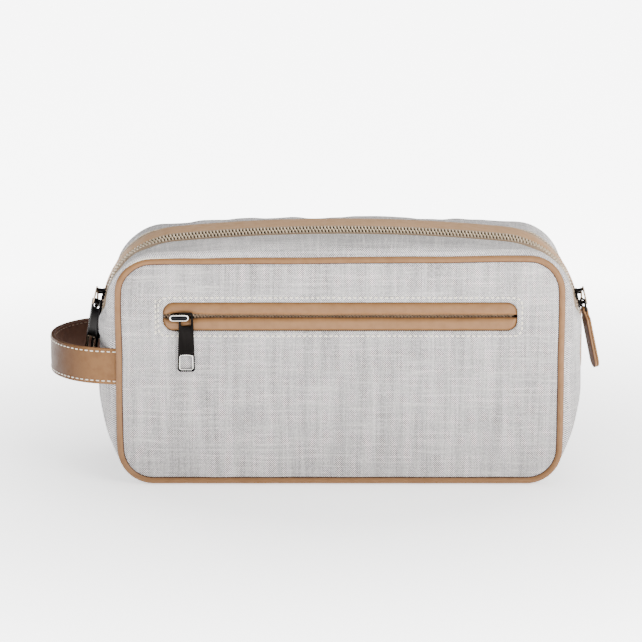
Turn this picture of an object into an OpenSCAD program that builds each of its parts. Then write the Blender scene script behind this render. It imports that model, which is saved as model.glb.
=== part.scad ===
// Shaving kit bag: a boxy soft zip bag that stands on its flat base.
// Two piped panels are joined by a bulging gusset. Two zips run side by side over the top
// with a leather strip between them, and each zip opens one compartment.
// The front panel has a zipped pocket between two leather lips, and a leather strap makes a
// handle on the left side. X runs to the right, Y to the back and Z up. The origin is the
// centre of the base, on the surface that the bag stands on.

/* [Bag] */
// Width of the front and back panels, over their piping
panel_w = 264; // [250:1:280]
// Height of the front and back panels, over their piping
panel_h = 138; // [132:1:150]
// Depth of the bag, over the piping
bag_d = 97; // [92:1:110]
// Corner radius of the panels
corner_r = 21; // [16:1:26]
// How far the sides bulge past the panels
side_bulge = 11; // [8:0.5:14]
// How far the top bulges past the panels
top_bulge = 7; // [5:0.5:10]
// Radius of the shoulders between the two seams
shoulder_r = 49; // [44:1:52]
// Radius of the lower corners between the two seams
lower_r = 56; // [40:1:60]
// Angle that the long top arch turns through on each half
arch_angle = 5.4; // [2:0.2:8]
// Diameter of the leather piping
piping_d = 4; // [3:0.5:4]

/* [Layers] */
// Thickness of the outer fabric
fabric_t = 1.0; // [0.8:0.1:1.0]
// Thickness of the foam padding
foam_t = 2.0; // [1.5:0.1:2.0]
// Thickness of the lining
lining_t = 0.5; // [0.3:0.1:0.5]

/* [Top zips] */
// Distance of each zip's centre line from the middle of the bag
zip_y = 18.7; // [18:0.1:19]
// Width of the leather strip between the zips
strip_w = 25; // [22:0.5:26]
// Angle up the shoulder at which the front zip's sliders rest
slider_angle = 14; // [12:0.5:20]
// Angle up the shoulder at which the back zip's sliders rest
back_slider_angle = 3; // [2:0.5:6]
// Sideways turn of the metal pulls in their bridges
pull_turn = 20; // [0:1:20]

/* [Pocket] */
// Length of the pocket's opening
pocket_w = 208; // [204:1:212]
// Height of the pocket's opening
pocket_h = 17; // [16:0.5:18]
// Height of the pocket zip above the base
pocket_z = 101.7; // [96:0.5:103]
// Distance of the pocket's slider from the middle of the bag
pocket_slider_x = 94.6; // [60:0.2:94.6]

/* [Pulls] */
// Length of the metal pulls from the hinge to the tip
pull_l = 32.5; // [26:0.5:32.5]
// Width of the metal pulls at the tip
pull_w = 10.3; // [9:0.1:11]
// Length of the leather pulls from the hinge to the tip
tab_l = 42; // [30:1:44]

/* [Handle] */
// Width of the handle's strap
strap_w = 21.8; // [18:0.2:24]
// Height of the middle of the strap above the base
strap_z = 71.3; // [66:0.1:71.3]
// How far the loop stands out from the seams
loop_x = 40.5; // [40:0.5:46]

/* [Hidden] */

$fn = 48;
gap = 0.05;
half_w = panel_w / 2;
half_d = bag_d / 2;
piping_r = piping_d / 2;
cord_r = piping_r - 0.9;
piping_y = half_d - piping_r;

// Layers of the panels, as distances from the middle of the bag to each outer face
panel_y = half_d - 0.6;
foam_y = panel_y - fabric_t - gap;
lining_y = foam_y - foam_t - gap;
binding_y = lining_y - lining_t - 0.1;
panel_inset = piping_d + 0.1;

// Layers of the gusset, as depths below its outer face
foam_m = fabric_t + gap;
lining_m = foam_m + foam_t + gap;
inner_m = lining_m + lining_t;
chain_m = fabric_t + 0.5;

// The gusset starts just outside the piping and keeps one section across the zips
seam_step = fabric_t + 0.1;
seam_y = half_d - 2.3;
flat_y = 25;
base_tuck = 0.042;
zip_edge_y = flat_y - 0.4;

// Centre and radius of the arc that each shoulder zip follows
arc_x = half_w + side_bulge - shoulder_r;
arc_z = panel_h + top_bulge - shoulder_r;
chain_r = shoulder_r - chain_m;

// Zip chain and slider, as heights from the middle of the chain
tooth_in = 0.45;
tooth_out = 2.3;
tooth_t = 0.9;
tape_t = 0.4;
tape_out = 11.8;
plate_n = 1.3;
plate_t = 0.8;
plate_l = 11;
plate_w = 7.8;
under_n = 1.7;
bridge_n = 5.9;
hinge_n = 4.25;
hinge_u = -2.4;
cap_l = 11.4;
cap_w = 3.8;
cap_t = 1.0;
post_u = 4.0;
eye_w = 8.2;
wire_d = 1.3;

// Pocket zip: its chain lies behind the lips and its bridge stands in front of them
pocket_chain_y = lining_y - lining_t - gap - tape_t;
lip_gap = 1.3;
window_r = 6;
lip_back = foam_y - 0.45;
pocket_pull_y = half_d + 0.4;
pocket_pull_t = 1.6;
pocket_bridge_n = pocket_pull_y + pocket_pull_t + 0.3 - pocket_chain_y;
bag_front_y = pocket_chain_y - tape_t - gap;
bag_depth = 6.6;
bag_low_z = 20;
bag_high_z = 115;

fabric_color = [0.78, 0.77, 0.76];
foam_color = [0.93, 0.92, 0.88];
lining_color = [0.36, 0.31, 0.27];
leather_color = [0.74, 0.58, 0.44];
tape_color = [0.80, 0.74, 0.66];
teeth_color = [0.62, 0.56, 0.48];
metal_color = [0.16, 0.15, 0.15];
cord_color = [0.90, 0.88, 0.84];

// ---------- gusset surface ----------

// 1 between the zips, falling to 0 at the seams
function bulge(y) =
    let (u = max(0, abs(y) - flat_y) / (seam_y - flat_y))
    pow(max(0, 1 - pow(u, 1.5)), 0.6);

// Half width, shoulder height, shoulder radius, lower radius and arch angle at depth y
function side_x(g) = half_w + seam_step + (side_bulge - seam_step) * g;
function top_z(g) = panel_h + seam_step + (top_bulge - seam_step) * g;
function upper_r(g) = corner_r + seam_step + (shoulder_r - corner_r - seam_step) * g;
function base_r(g) = corner_r + seam_step + (lower_r - corner_r - seam_step) * g;
function arch(g) = max(0.05, arch_angle * g);

// One point of the section: s runs 0 base centre, 1 base end, 2 side foot, 3 shoulder foot,
// 4 arch foot, 5 crown; m is the depth below the outer face
function half_point(s, g, m) =
    let (a = side_x(g), t = top_z(g), r = upper_r(g), b = base_r(g), w = arch(g))
    s < 1 ? [(a - b) * s, m] :
    s < 2 ? let (p = 90 * (s - 2)) [a - b + (b - m) * cos(p), b + (b - m) * sin(p)] :
    s < 3 ? [a - m, b + (t - r - b) * (s - 2)] :
    s < 4 ? let (p = (90 - w) * (s - 3)) [a - r + (r - m) * cos(p), t - r + (r - m) * sin(p)] :
    let (big = (a - r) / sin(w) + r, p = w * (5 - s))
        [(big - m) * sin(p), t - r - (big - r) * cos(w) + (big - m) * cos(p)];

// Stations past 5 and below 0 are the mirror image on the left side
function section_point(s, g, m) =
    s > 5 ? let (p = half_point(10 - s, g, m)) [-p[0], p[1]] :
    s < 0 ? let (p = half_point(-s, g, m)) [-p[0], p[1]] :
    half_point(s, g, m);

// The base is a little shorter in depth, so that it ends behind the piping
function tuck(s) = 1 - base_tuck * (2 - min(2, max(1, abs(s))));
function shell_point(s, y, m) =
    let (p = section_point(s, bulge(y), m))
    [p[0], y * (s > 3 ? 1 : tuck(s)), p[1]];

// A curved sheet between two depths, over a run of stations and a run of depths
module shell(stations, depths, m_out, m_in) {
    ns = len(stations);
    nd = len(depths);
    layer = ns * nd;
    points = [for (m = [m_out, m_in]) for (s = stations) for (y = depths) shell_point(s, y, m)];
    outer = [for (i = [0:ns - 2]) for (j = [0:nd - 2])
        let (a = i * nd + j, b = a + 1, c = a + nd + 1, d = a + nd)
        each [[a, d, c], [a, c, b]]];
    inner = [for (f = outer) [f[2] + layer, f[1] + layer, f[0] + layer]];
    near = [for (i = [0:ns - 2]) let (a = i * nd, d = a + nd)
        each [[a + layer, d + layer, d], [a + layer, d, a]]];
    far = [for (i = [0:ns - 2]) let (a = i * nd + nd - 1, d = a + nd)
        each [[a, d, d + layer], [a, d + layer, a + layer]]];
    start = [for (j = [0:nd - 2]) let (a = j, b = a + 1)
        each [[a, b, b + layer], [a, b + layer, a + layer]]];
    end = [for (j = [0:nd - 2]) let (a = (ns - 1) * nd + j, b = a + 1)
        each [[b, a, a + layer], [b, a + layer, b + layer]]];
    polyhedron(points, concat(outer, inner, near, far, start, end));
}

function steps(from, to, count) = [for (i = [0:count]) from + (to - from) * i / count];

// Depths that crowd together towards the seam, where the gusset curves most
function seam_steps(from, to, count) =
    [for (i = [0:count]) from + (to - from) * sin(90 * i / count)];
function backwards(list) = [for (i = [len(list) - 1:-1:0]) list[i]];
function negated(list) = [for (v = list) -v];

// The zips end a little below the shoulders, where the top pieces meet the base gusset
shoulder_steps = 14;
zip_end = 2.85;
top_stations = concat([zip_end], steps(3, 4, shoulder_steps), steps(4.16, 5.84, 10),
    steps(6, 7, shoulder_steps), [10 - zip_end]);
base_end = zip_end - 0.01;
base_stations = concat([-base_end, -2.5], steps(-2, -1, 9), [-0.5, 0, 0.5], steps(1, 2, 9),
    [2.5, base_end]);
fine_depths = seam_steps(zip_edge_y, seam_y, 6);
coarse_depths = seam_steps(zip_edge_y + 7, seam_y - 2, 4);
lining_depths = seam_steps(zip_edge_y + 1.4, seam_y - 2, 4);
base_depths = concat(negated(backwards(fine_depths)), [0], fine_depths);

// The base's inner layers stop one step short of the seam
function shortened(list) = [for (i = [1:len(list) - 2]) list[i]];
base_inner_depths = shortened(shortened(base_depths));

// ---------- flat pieces ----------

module rounded_rect(w, h, r) {
    square([w - 2 * r, h], center = true);
    square([w, h - 2 * r], center = true);
    for (x = [-1, 1]) {
        for (y = [-1, 1]) {
            translate([x * (w / 2 - r), y * (h / 2 - r)]) circle(r);
        }
    }
}

// A sheet standing on edge: its face nearest the middle of the bag is at depth y
module upright_sheet(w, h, r, y, t, z) {
    translate([0, y + t, z]) rotate([90, 0, 0]) linear_extrude(t) rounded_rect(w, h, r);
}

// A layer of the front panel, with its outer face outer_y in front of the middle
module panel_layer(outer_y, t) {
    upright_sheet(panel_w - 2 * panel_inset, panel_h - 2 * panel_inset, corner_r - panel_inset,
        -outer_y, t, panel_h / 2);
}

// Straight and curved lengths of one profile around a panel's edge
module around_panel(inset) {
    w = panel_w - 2 * inset;
    h = panel_h - 2 * inset;
    r = corner_r - inset;
    for (turn = [0, 180]) {
        translate([0, 0, panel_h / 2]) rotate([0, turn, 0]) {
            translate([w / 2, 0, r - h / 2]) linear_extrude(h - 2 * r) children();
            translate([r - w / 2, 0, -h / 2]) rotate([0, 90, 0])
                linear_extrude(w - 2 * r) children();
            translate([w / 2 - r, 0, r - h / 2]) rotate([-90, 0, 0])
                rotate_extrude(angle = 90) translate([r, 0]) children();
            translate([r - w / 2, 0, r - h / 2]) rotate([0, 90, 0]) rotate([-90, 0, 0])
                rotate_extrude(angle = 90) translate([r, 0]) children();
        }
    }
}

module piping(y) {
    color(leather_color) translate([0, y, 0]) around_panel(piping_r) difference() {
        circle(piping_r, $fn = 32);
        circle(cord_r + gap, $fn = 32);
    }
}

module piping_cord(y) {
    color(cord_color) translate([0, y, 0]) around_panel(piping_r) circle(cord_r, $fn = 32);
}

module seam_binding(side) {
    color(lining_color) translate([0, side * (binding_y - 0.75), 0]) around_panel(8.2)
        square([3, 1.5], center = true);
}

// ---------- panels ----------

module front_panel() {
    color(fabric_color) difference() {
        panel_layer(panel_y, fabric_t);
        upright_sheet(pocket_w, pocket_h, window_r, -panel_y - 1, fabric_t + 2, pocket_z);
    }
}

module front_foam() {
    color(foam_color) difference() {
        panel_layer(foam_y, foam_t);
        upright_sheet(pocket_w + 14, pocket_h + 8, 3, -foam_y - 1, foam_t + 2, pocket_z);
    }
}

module front_lining() {
    color(lining_color) difference() {
        panel_layer(lining_y, lining_t);
        upright_sheet(pocket_w + 1, 11, 2, -lining_y - 1, lining_t + 2, pocket_z);
    }
}

module back_panel() {
    color(fabric_color) mirror([0, 1, 0]) panel_layer(panel_y, fabric_t);
}

module back_foam() {
    color(foam_color) mirror([0, 1, 0]) panel_layer(foam_y, foam_t);
}

module back_lining() {
    color(lining_color) mirror([0, 1, 0]) panel_layer(lining_y, lining_t);
}

module front_piping() {
    piping(-piping_y);
}

module back_piping() {
    piping(piping_y);
}

module front_piping_cord() {
    piping_cord(-piping_y);
}

module back_piping_cord() {
    piping_cord(piping_y);
}

module front_seam_binding() {
    seam_binding(-1);
}

module back_seam_binding() {
    seam_binding(1);
}

// ---------- gusset ----------

module top_layer(side, depths, m_out, m_in) {
    shell(top_stations, side > 0 ? depths : negated(backwards(depths)), m_out, m_in);
}

module front_top_gusset() {
    color(fabric_color) top_layer(-1, fine_depths, 0, fabric_t);
}

module back_top_gusset() {
    color(fabric_color) top_layer(1, fine_depths, 0, fabric_t);
}

module front_top_foam() {
    color(foam_color) top_layer(-1, coarse_depths, foam_m, foam_m + foam_t);
}

module back_top_foam() {
    color(foam_color) top_layer(1, coarse_depths, foam_m, foam_m + foam_t);
}

module front_top_lining() {
    color(lining_color) top_layer(-1, lining_depths, lining_m, inner_m);
}

module back_top_lining() {
    color(lining_color) top_layer(1, lining_depths, lining_m, inner_m);
}

module base_gusset() {
    color(fabric_color) shell(base_stations, base_depths, 0, fabric_t);
}

module base_foam() {
    color(foam_color) shell(base_stations, base_inner_depths, foam_m, foam_m + foam_t);
}

module base_lining() {
    color(lining_color) shell(base_stations, base_inner_depths, lining_m, inner_m);
}

module centre_strip() {
    color(leather_color) shell(top_stations, [-strip_w / 2, strip_w / 2], 0, fabric_t);
}

module strip_backing() {
    color(lining_color) shell(top_stations, [-6, 6], foam_m, foam_m + lining_t);
}

// The wall between the two compartments hangs from the strip and reaches the base
module divider() {
    top = [for (s = top_stations) section_point(s, 1, foam_m + lining_t + gap)];
    base = [for (s = base_stations) section_point(s, 1, inner_m + gap)];
    color(lining_color) translate([0, 0.4, 0]) rotate([90, 0, 0]) linear_extrude(0.8)
        polygon(concat(top, base));
}

// ---------- top zips ----------

module zip_tape(y) {
    color(tape_color) {
        for (side = [-1, 1]) {
            low = min(side * tooth_out, side * tape_out);
            high = max(side * tooth_out, side * tape_out);
            shell(top_stations, [y + low, y + high], chain_m - tape_t, chain_m + tape_t);
        }
    }
}

module zip_teeth(y) {
    color(teeth_color) {
        for (side = [-1, 1]) {
            low = min(side * tooth_in, side * tooth_out);
            high = max(side * tooth_in, side * tooth_out);
            shell(top_stations, [y + low, y + high], chain_m - tooth_t, chain_m + tooth_t);
        }
    }
}

module front_zip_tape() {
    zip_tape(-zip_y);
}

module front_zip_teeth() {
    zip_teeth(-zip_y);
}

module back_zip_tape() {
    zip_tape(zip_y);
}

module back_zip_teeth() {
    zip_teeth(zip_y);
}

// ---------- sliders ----------

module plate_outline() {
    rounded_rect(plate_l, plate_w, 2.4);
}

module cap_outline() {
    square([cap_l - cap_w, cap_w], center = true);
    for (side = [-1, 1]) {
        translate([side * (cap_l - cap_w) / 2, 0]) circle(cap_w / 2);
    }
}

// X runs along the zip, Y across it and Z out of it, from the middle of the chain
module slider_body(bridge) {
    color(metal_color) {
        translate([0, 0, plate_n]) linear_extrude(plate_t) plate_outline();
        translate([0, 0, -under_n - plate_t]) linear_extrude(plate_t) plate_outline();
        for (side = [-1, 1]) {
            translate([-3, side * 3.45 - 0.45, 0.8]) cube([6, 0.9, plate_n - 0.8 + 0.1]);
            translate([-3, side * 3.45 - 0.45, -under_n - 0.1]) cube([6, 0.9, 0.8]);
        }
        translate([1, -0.25, -under_n - 0.1]) cube([3.4, 0.5, under_n + plate_n + 0.2]);
        translate([-post_u, 0, plate_n + 0.1]) cylinder(h = bridge - plate_n - 0.1, d = 2, $fn = 32);
        translate([post_u, 0, plate_n + 0.1]) cylinder(h = bridge - plate_n - 0.1, d = 2, $fn = 32);
    }
}

module slider_cap(bridge) {
    color(metal_color) translate([0, 0, bridge]) linear_extrude(cap_t) cap_outline();
}

// Places a slider's piece on the left shoulder; side is -1 for the front zip, 1 for the back
module on_left(side) {
    angle = side < 0 ? slider_angle : back_slider_angle;
    translate([-arc_x, side * zip_y, arc_z]) rotate([0, angle, 0])
        translate([-chain_r, 0, 0]) rotate([0, -90, 0]) children();
}

module on_right(side) {
    mirror([1, 0, 0]) on_left(side) children();
}

// ---------- pulls ----------

// A flat metal pull below its eye: it hangs along -X and its top edge is at -start
module pull_plate(start, length, thickness) {
    window_l = 8.4;
    window_w = 7.2;
    rim = 1.3;
    translate([0, 0, -thickness / 2]) linear_extrude(thickness) difference() {
        polygon([[-start, -eye_w / 2], [-start, eye_w / 2], [-length, pull_w / 2],
            [-length, -pull_w / 2]]);
        translate([-length + rim, -window_w / 2]) square([window_l, window_w]);
    }
}

// The eye of a top zip's pull: a round bar under the bridge and two legs
module pull_eye(reach) {
    eye_bar();
    for (side = [-1, 1]) {
        translate([-reach, side * (eye_w - wire_d) / 2 - wire_d / 2, -wire_d / 2])
            cube([reach, wire_d, wire_d]);
    }
}

module eye_bar() {
    rotate([90, 0, 0]) cylinder(h = eye_w, d = wire_d, center = true, $fn = 32);
}

module metal_pull(turn) {
    color(metal_color) translate([hinge_u, 0, hinge_n]) rotate([turn, 0, 0]) {
        pull_eye(6.2);
        pull_plate(6, pull_l, 1.6);
    }
}

// A wire link through the bridge, with a second bar that carries the leather pull
module pull_link() {
    color(metal_color) translate([hinge_u, 0, hinge_n]) {
        pull_eye(6);
        translate([-6, 0, 0]) eye_bar();
    }
}

module leather_tab() {
    tab_w = 9.5;
    fold_x = -6;
    color(leather_color) translate([hinge_u, 0, hinge_n]) {
        difference() {
            union() {
                translate([fold_x, 0, 0]) rotate([90, 0, 0])
                    cylinder(h = 4.4, d = 2.6, center = true, $fn = 32);
                translate([fold_x - 3, -2.2, -1.3]) cube([3, 4.4, 2.6]);
                translate([0, 0, -1.3]) linear_extrude(2.6) {
                    translate([-tab_l + tab_w / 2, -tab_w / 2])
                        square([tab_l - tab_w / 2 + fold_x - 2, tab_w]);
                    translate([-tab_l + tab_w / 2, 0]) circle(tab_w / 2);
                }
            }
            translate([fold_x, 0, 0]) rotate([90, 0, 0])
                cylinder(h = 6, d = wire_d + 0.06, center = true, $fn = 32);
        }
    }
}

module front_left_slider() {
    on_left(-1) slider_body(bridge_n);
}

module front_left_cap() {
    on_left(-1) slider_cap(bridge_n);
}

module front_left_pull() {
    on_left(-1) metal_pull(pull_turn);
}

module back_left_slider() {
    on_left(1) slider_body(bridge_n);
}

module back_left_cap() {
    on_left(1) slider_cap(bridge_n);
}

module back_left_pull() {
    on_left(1) metal_pull(-pull_turn);
}

module front_right_slider() {
    on_right(-1) slider_body(bridge_n);
}

module front_right_cap() {
    on_right(-1) slider_cap(bridge_n);
}

module front_right_link() {
    on_right(-1) pull_link();
}

module front_right_tab() {
    on_right(-1) leather_tab();
}

module back_right_slider() {
    on_right(1) slider_body(bridge_n);
}

module back_right_cap() {
    on_right(1) slider_cap(bridge_n);
}

module back_right_link() {
    on_right(1) pull_link();
}

module back_right_tab() {
    on_right(1) leather_tab();
}

// ---------- pocket ----------

// One lip: a padded roll in the panel's window and a thin flange behind the panel
module pocket_lip(side) {
    lip_h = pocket_h / 2 - 0.1 - lip_gap;
    roll = 1.0;
    lip_w = pocket_w - 0.2;
    lip_t = half_d - lip_back;
    color(leather_color) translate([0, 0, pocket_z]) scale([1, 1, side]) {
        intersection() {
            translate([-lip_w / 2, -half_d, lip_gap]) {
                translate([0, 0, roll]) cube([lip_w, lip_t, lip_h - roll]);
                translate([0, roll, 0]) cube([lip_w, lip_t - roll, roll]);
                translate([0, roll, roll]) rotate([0, 90, 0]) cylinder(h = lip_w, r = roll, $fn = 32);
            }
            upright_sheet(lip_w, pocket_h - 0.2, window_r - 0.1, -half_d - 1, lip_t + 2, 0);
        }
        translate([-pocket_w / 2 - 5, -foam_y, pocket_h / 2 - 1])
            cube([pocket_w + 10, 0.45, 4.5]);
    }
}

module pocket_upper_lip() {
    pocket_lip(1);
}

module pocket_lower_lip() {
    pocket_lip(-1);
}

module pocket_zip_tape() {
    color(tape_color) {
        for (side = [-1, 1]) {
            low = min(side * tooth_out, side * tape_out);
            translate([-pocket_w / 2 - 3, -pocket_chain_y - tape_t, pocket_z + low])
                cube([pocket_w + 6, 2 * tape_t, tape_out - tooth_out]);
        }
    }
}

module pocket_zip_teeth() {
    color(teeth_color) {
        for (side = [-1, 1]) {
            low = min(side * tooth_in, side * tooth_out);
            translate([-pocket_w / 2, -pocket_chain_y - tooth_t, pocket_z + low])
                cube([pocket_w, 2 * tooth_t, tooth_out - tooth_in]);
        }
    }
}

// A flat pouch behind the panel, open only at the zip
module pocket_bag() {
    wall = 0.5;
    w = pocket_w + 18;
    h = bag_high_z - bag_low_z;
    color(lining_color) difference() {
        translate([-w / 2, -bag_front_y, bag_low_z]) cube([w, bag_depth, h]);
        translate([-w / 2 + wall, -bag_front_y + wall, bag_low_z + wall])
            cube([w - 2 * wall, bag_depth - 2 * wall, h - 2 * wall]);
        translate([-pocket_w / 2 - 0.5, -bag_front_y - 1, pocket_z - 5.5])
            cube([pocket_w + 1, wall + 2, 11]);
    }
}

module in_pocket() {
    translate([-pocket_slider_x, -pocket_chain_y, pocket_z]) rotate([90, 0, 0]) children();
}

module pocket_slider() {
    in_pocket() slider_body(pocket_bridge_n);
}

module pocket_slider_cap() {
    in_pocket() slider_cap(pocket_bridge_n);
}

// The pull hangs across the zip: its eye goes round the right-hand post of the bridge
module pocket_pull() {
    eye_h = 2.9;
    bar = 1.2;
    color(metal_color)
        translate([post_u - pocket_slider_x, -pocket_pull_y - pocket_pull_t / 2, pocket_z])
        rotate([90, -90, 0]) {
            translate([0, 0, -pocket_pull_t / 2]) linear_extrude(pocket_pull_t) {
                translate([eye_h - bar, -eye_w / 2]) square([bar, eye_w]);
                for (side = [-1, 1]) {
                    translate([-5, side * (eye_w - bar) / 2 - bar / 2]) square([5 + eye_h, bar]);
                }
            }
            pull_plate(4.8, pull_l, pocket_pull_t);
        }
}

// ---------- handle ----------

// Outline of the loop at an offset from its outer face, as seen from above
function loop_points(offset) =
    [for (p = steps(-90, 90, 36)) [
        -half_w - 2 - (loop_x - offset) * cos(p),
        (seam_y - 0.7 - offset) * sin(p)
    ]];
body_outline = concat(
    [for (y = base_depths) [-side_x(bulge(y)) - 0.1, y]],
    [[-half_w, half_d + 10], [0, half_d + 10], [0, -half_d - 10], [-half_w, -half_d - 10]]
);

module loop_layer(outer, inner) {
    translate([0, 0, strap_z - strap_w / 2]) linear_extrude(strap_w) difference() {
        polygon(concat(loop_points(outer), backwards(loop_points(inner))));
        polygon(body_outline);
    }
}

module handle_strap() {
    color(leather_color) loop_layer(0, 1.4);
}

module handle_lining() {
    color(lining_color) loop_layer(1.4 + gap, 2.6);
}

front_panel();
front_foam();
front_lining();
back_panel();
back_foam();
back_lining();
front_piping();
front_piping_cord();
back_piping();
back_piping_cord();
front_top_gusset();
front_top_foam();
front_top_lining();
back_top_gusset();
back_top_foam();
back_top_lining();
base_gusset();
base_foam();
base_lining();
front_seam_binding();
back_seam_binding();
centre_strip();
strip_backing();
divider();
front_zip_tape();
front_zip_teeth();
back_zip_tape();
back_zip_teeth();
pocket_upper_lip();
pocket_lower_lip();
pocket_zip_tape();
pocket_zip_teeth();
pocket_bag();
handle_strap();
handle_lining();
pocket_slider();
pocket_slider_cap();
pocket_pull();
front_left_slider();
front_left_cap();
front_left_pull();
front_right_slider();
front_right_cap();
front_right_link();
front_right_tab();
back_left_slider();
back_left_cap();
back_left_pull();
back_right_slider();
back_right_cap();
back_right_link();
back_right_tab();
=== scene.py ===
"""Shaving kit bag: the looks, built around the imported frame. Lengths are in millimetres until
a mesh is made, and +X is to the right, +Y to the back and +Z up, as in the frame. A side is a
sign: FRONT or BACK, LEFT or RIGHT."""
import math

import bmesh
import bpy
import numpy as np
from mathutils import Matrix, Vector, geometry, kdtree, noise


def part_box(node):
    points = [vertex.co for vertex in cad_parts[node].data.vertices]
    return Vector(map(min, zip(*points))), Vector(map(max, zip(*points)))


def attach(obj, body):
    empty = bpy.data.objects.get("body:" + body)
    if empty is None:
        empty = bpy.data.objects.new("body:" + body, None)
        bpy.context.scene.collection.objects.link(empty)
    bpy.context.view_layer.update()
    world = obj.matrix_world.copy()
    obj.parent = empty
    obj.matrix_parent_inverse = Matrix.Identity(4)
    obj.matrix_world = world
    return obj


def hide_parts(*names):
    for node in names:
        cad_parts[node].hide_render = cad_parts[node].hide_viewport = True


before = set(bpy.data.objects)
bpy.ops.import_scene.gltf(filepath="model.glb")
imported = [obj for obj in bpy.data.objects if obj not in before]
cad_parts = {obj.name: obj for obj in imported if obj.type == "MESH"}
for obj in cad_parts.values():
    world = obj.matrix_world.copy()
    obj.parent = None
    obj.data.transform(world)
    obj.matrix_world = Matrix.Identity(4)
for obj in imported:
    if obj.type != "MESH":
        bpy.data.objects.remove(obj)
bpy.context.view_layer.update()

MM = 0.001
FRONT, BACK = -1, 1
LEFT, RIGHT = -1, 1


def box_mm(node):
    return tuple(np.array(corner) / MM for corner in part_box(node))


def middle_mm(node):
    low, high = box_mm(node)
    return (low + high) / 2


# ---------------------------------------------------------------- sizes, most from the frame

piping_low, piping_high = box_mm("front_piping")
HALF_W = piping_high[0]
PANEL_H = piping_high[2]
HALF_D = -piping_low[1]
PIPING_R = (piping_high[1] - piping_low[1]) / 2
PIPING_Y = HALF_D - PIPING_R
SIDE_BULGE = box_mm("base_gusset")[1][0] - HALF_W
TOP_BULGE = 7.0
CORNER_R, SHOULDER_R, LOWER_R = 21.0, 49.0, 56.0
ARCH_ANGLE = math.radians(5.4)
FLAT_Y = 25.0
SEAM_Y = HALF_D - 2.3
SEAM_STEP = 1.1
BASE_TUCK = 0.042

ZIP_Y = 18.7
ZIP_END_Z = 91.0
CHAIN_M = 1.5
TEETH_PITCH = 2.0
TOP_STITCH_Y = 26.6
TOP_BRIDGE = 5.6
TOP_HINGE = (-2.4, 0, 4.25)
SLIDER_ANGLE = {FRONT: math.radians(14), BACK: math.radians(3)}
METAL_PULL_LEAN = {FRONT: 8, BACK: 5}
METAL_PULL_TURN = 44.0
LEATHER_PULL_LEAN = {FRONT: 12, BACK: 0.5}
LEATHER_PULL_TURN = 15

POCKET_X = middle_mm("pocket_slider")[0]
POCKET_Z = float(middle_mm("pocket_zip_teeth")[2])
POCKET_CHAIN_Y = float(middle_mm("pocket_zip_teeth")[1])
POCKET_HALF_W = box_mm("pocket_zip_teeth")[1][0]
POCKET_HALF_H = 8.5
WINDOW_R = 6.0
STITCH_OUT = 3.0

strap_low, strap_high = box_mm("handle_strap")
STRAP_Z = (strap_low[2] + strap_high[2]) / 2
STRAP_HALF = (strap_high[2] - strap_low[2]) / 2
LOOP_X = -strap_low[0] - HALF_W - 2


# ---------------------------------------------------------------- camera and light

CAMERA_AIM = (-11.3, 0, 88.7)
CAMERA_TILT = math.radians(12.44)
CAMERA_DISTANCE = 1.8


def make_camera():
    camera = bpy.data.objects.new("camera", bpy.data.cameras.new("camera"))
    away = Vector((0, -math.cos(CAMERA_TILT), math.sin(CAMERA_TILT)))
    camera.location = Vector(CAMERA_AIM) * MM + CAMERA_DISTANCE * away
    camera.rotation_euler = (math.pi / 2 - CAMERA_TILT, 0, 0)
    camera.data.lens = 167.0
    camera.data.sensor_width = 36.0
    bpy.context.scene.collection.objects.link(camera)
    bpy.context.scene.camera = camera


def area_light(name, place, size, power, tint=(1, 1, 1)):
    """A soft lamp aimed at the middle of the bag."""
    data = bpy.data.lights.new(name, "AREA")
    data.shape = "RECTANGLE"
    data.size, data.size_y = size
    data.energy = power
    data.color = tint
    light = bpy.data.objects.new(name, data)
    light.location = place
    toward = Vector((0, 0, 0.08)) - Vector(place)
    light.rotation_euler = toward.to_track_quat("-Z", "Y").to_euler()
    bpy.context.scene.collection.objects.link(light)


def make_light():
    area_light("key_light", (0.72, -0.85, 0.62), (0.7, 0.6), 20.5, (1, 0.985, 0.96))
    area_light("fill_light", (-1.3, -1.1, 0.9), (1.0, 1.0), 0.8, (0.98, 0.99, 1))
    area_light("top_light", (0.25, 0.15, 1.4), (1.2, 0.8), 15)
    world = bpy.data.worlds.new("studio")
    world.use_nodes = True
    background = world.node_tree.nodes["Background"]
    background.inputs["Color"].default_value = (1, 1, 1, 1)
    background.inputs["Strength"].default_value = 0.4
    bpy.context.scene.world = world


make_camera()
make_light()


# ---------------------------------------------------------------- node helpers

def shade(color, factor=1.0):
    return (*[min(1.0, c * factor) for c in color], 1.0)


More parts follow.
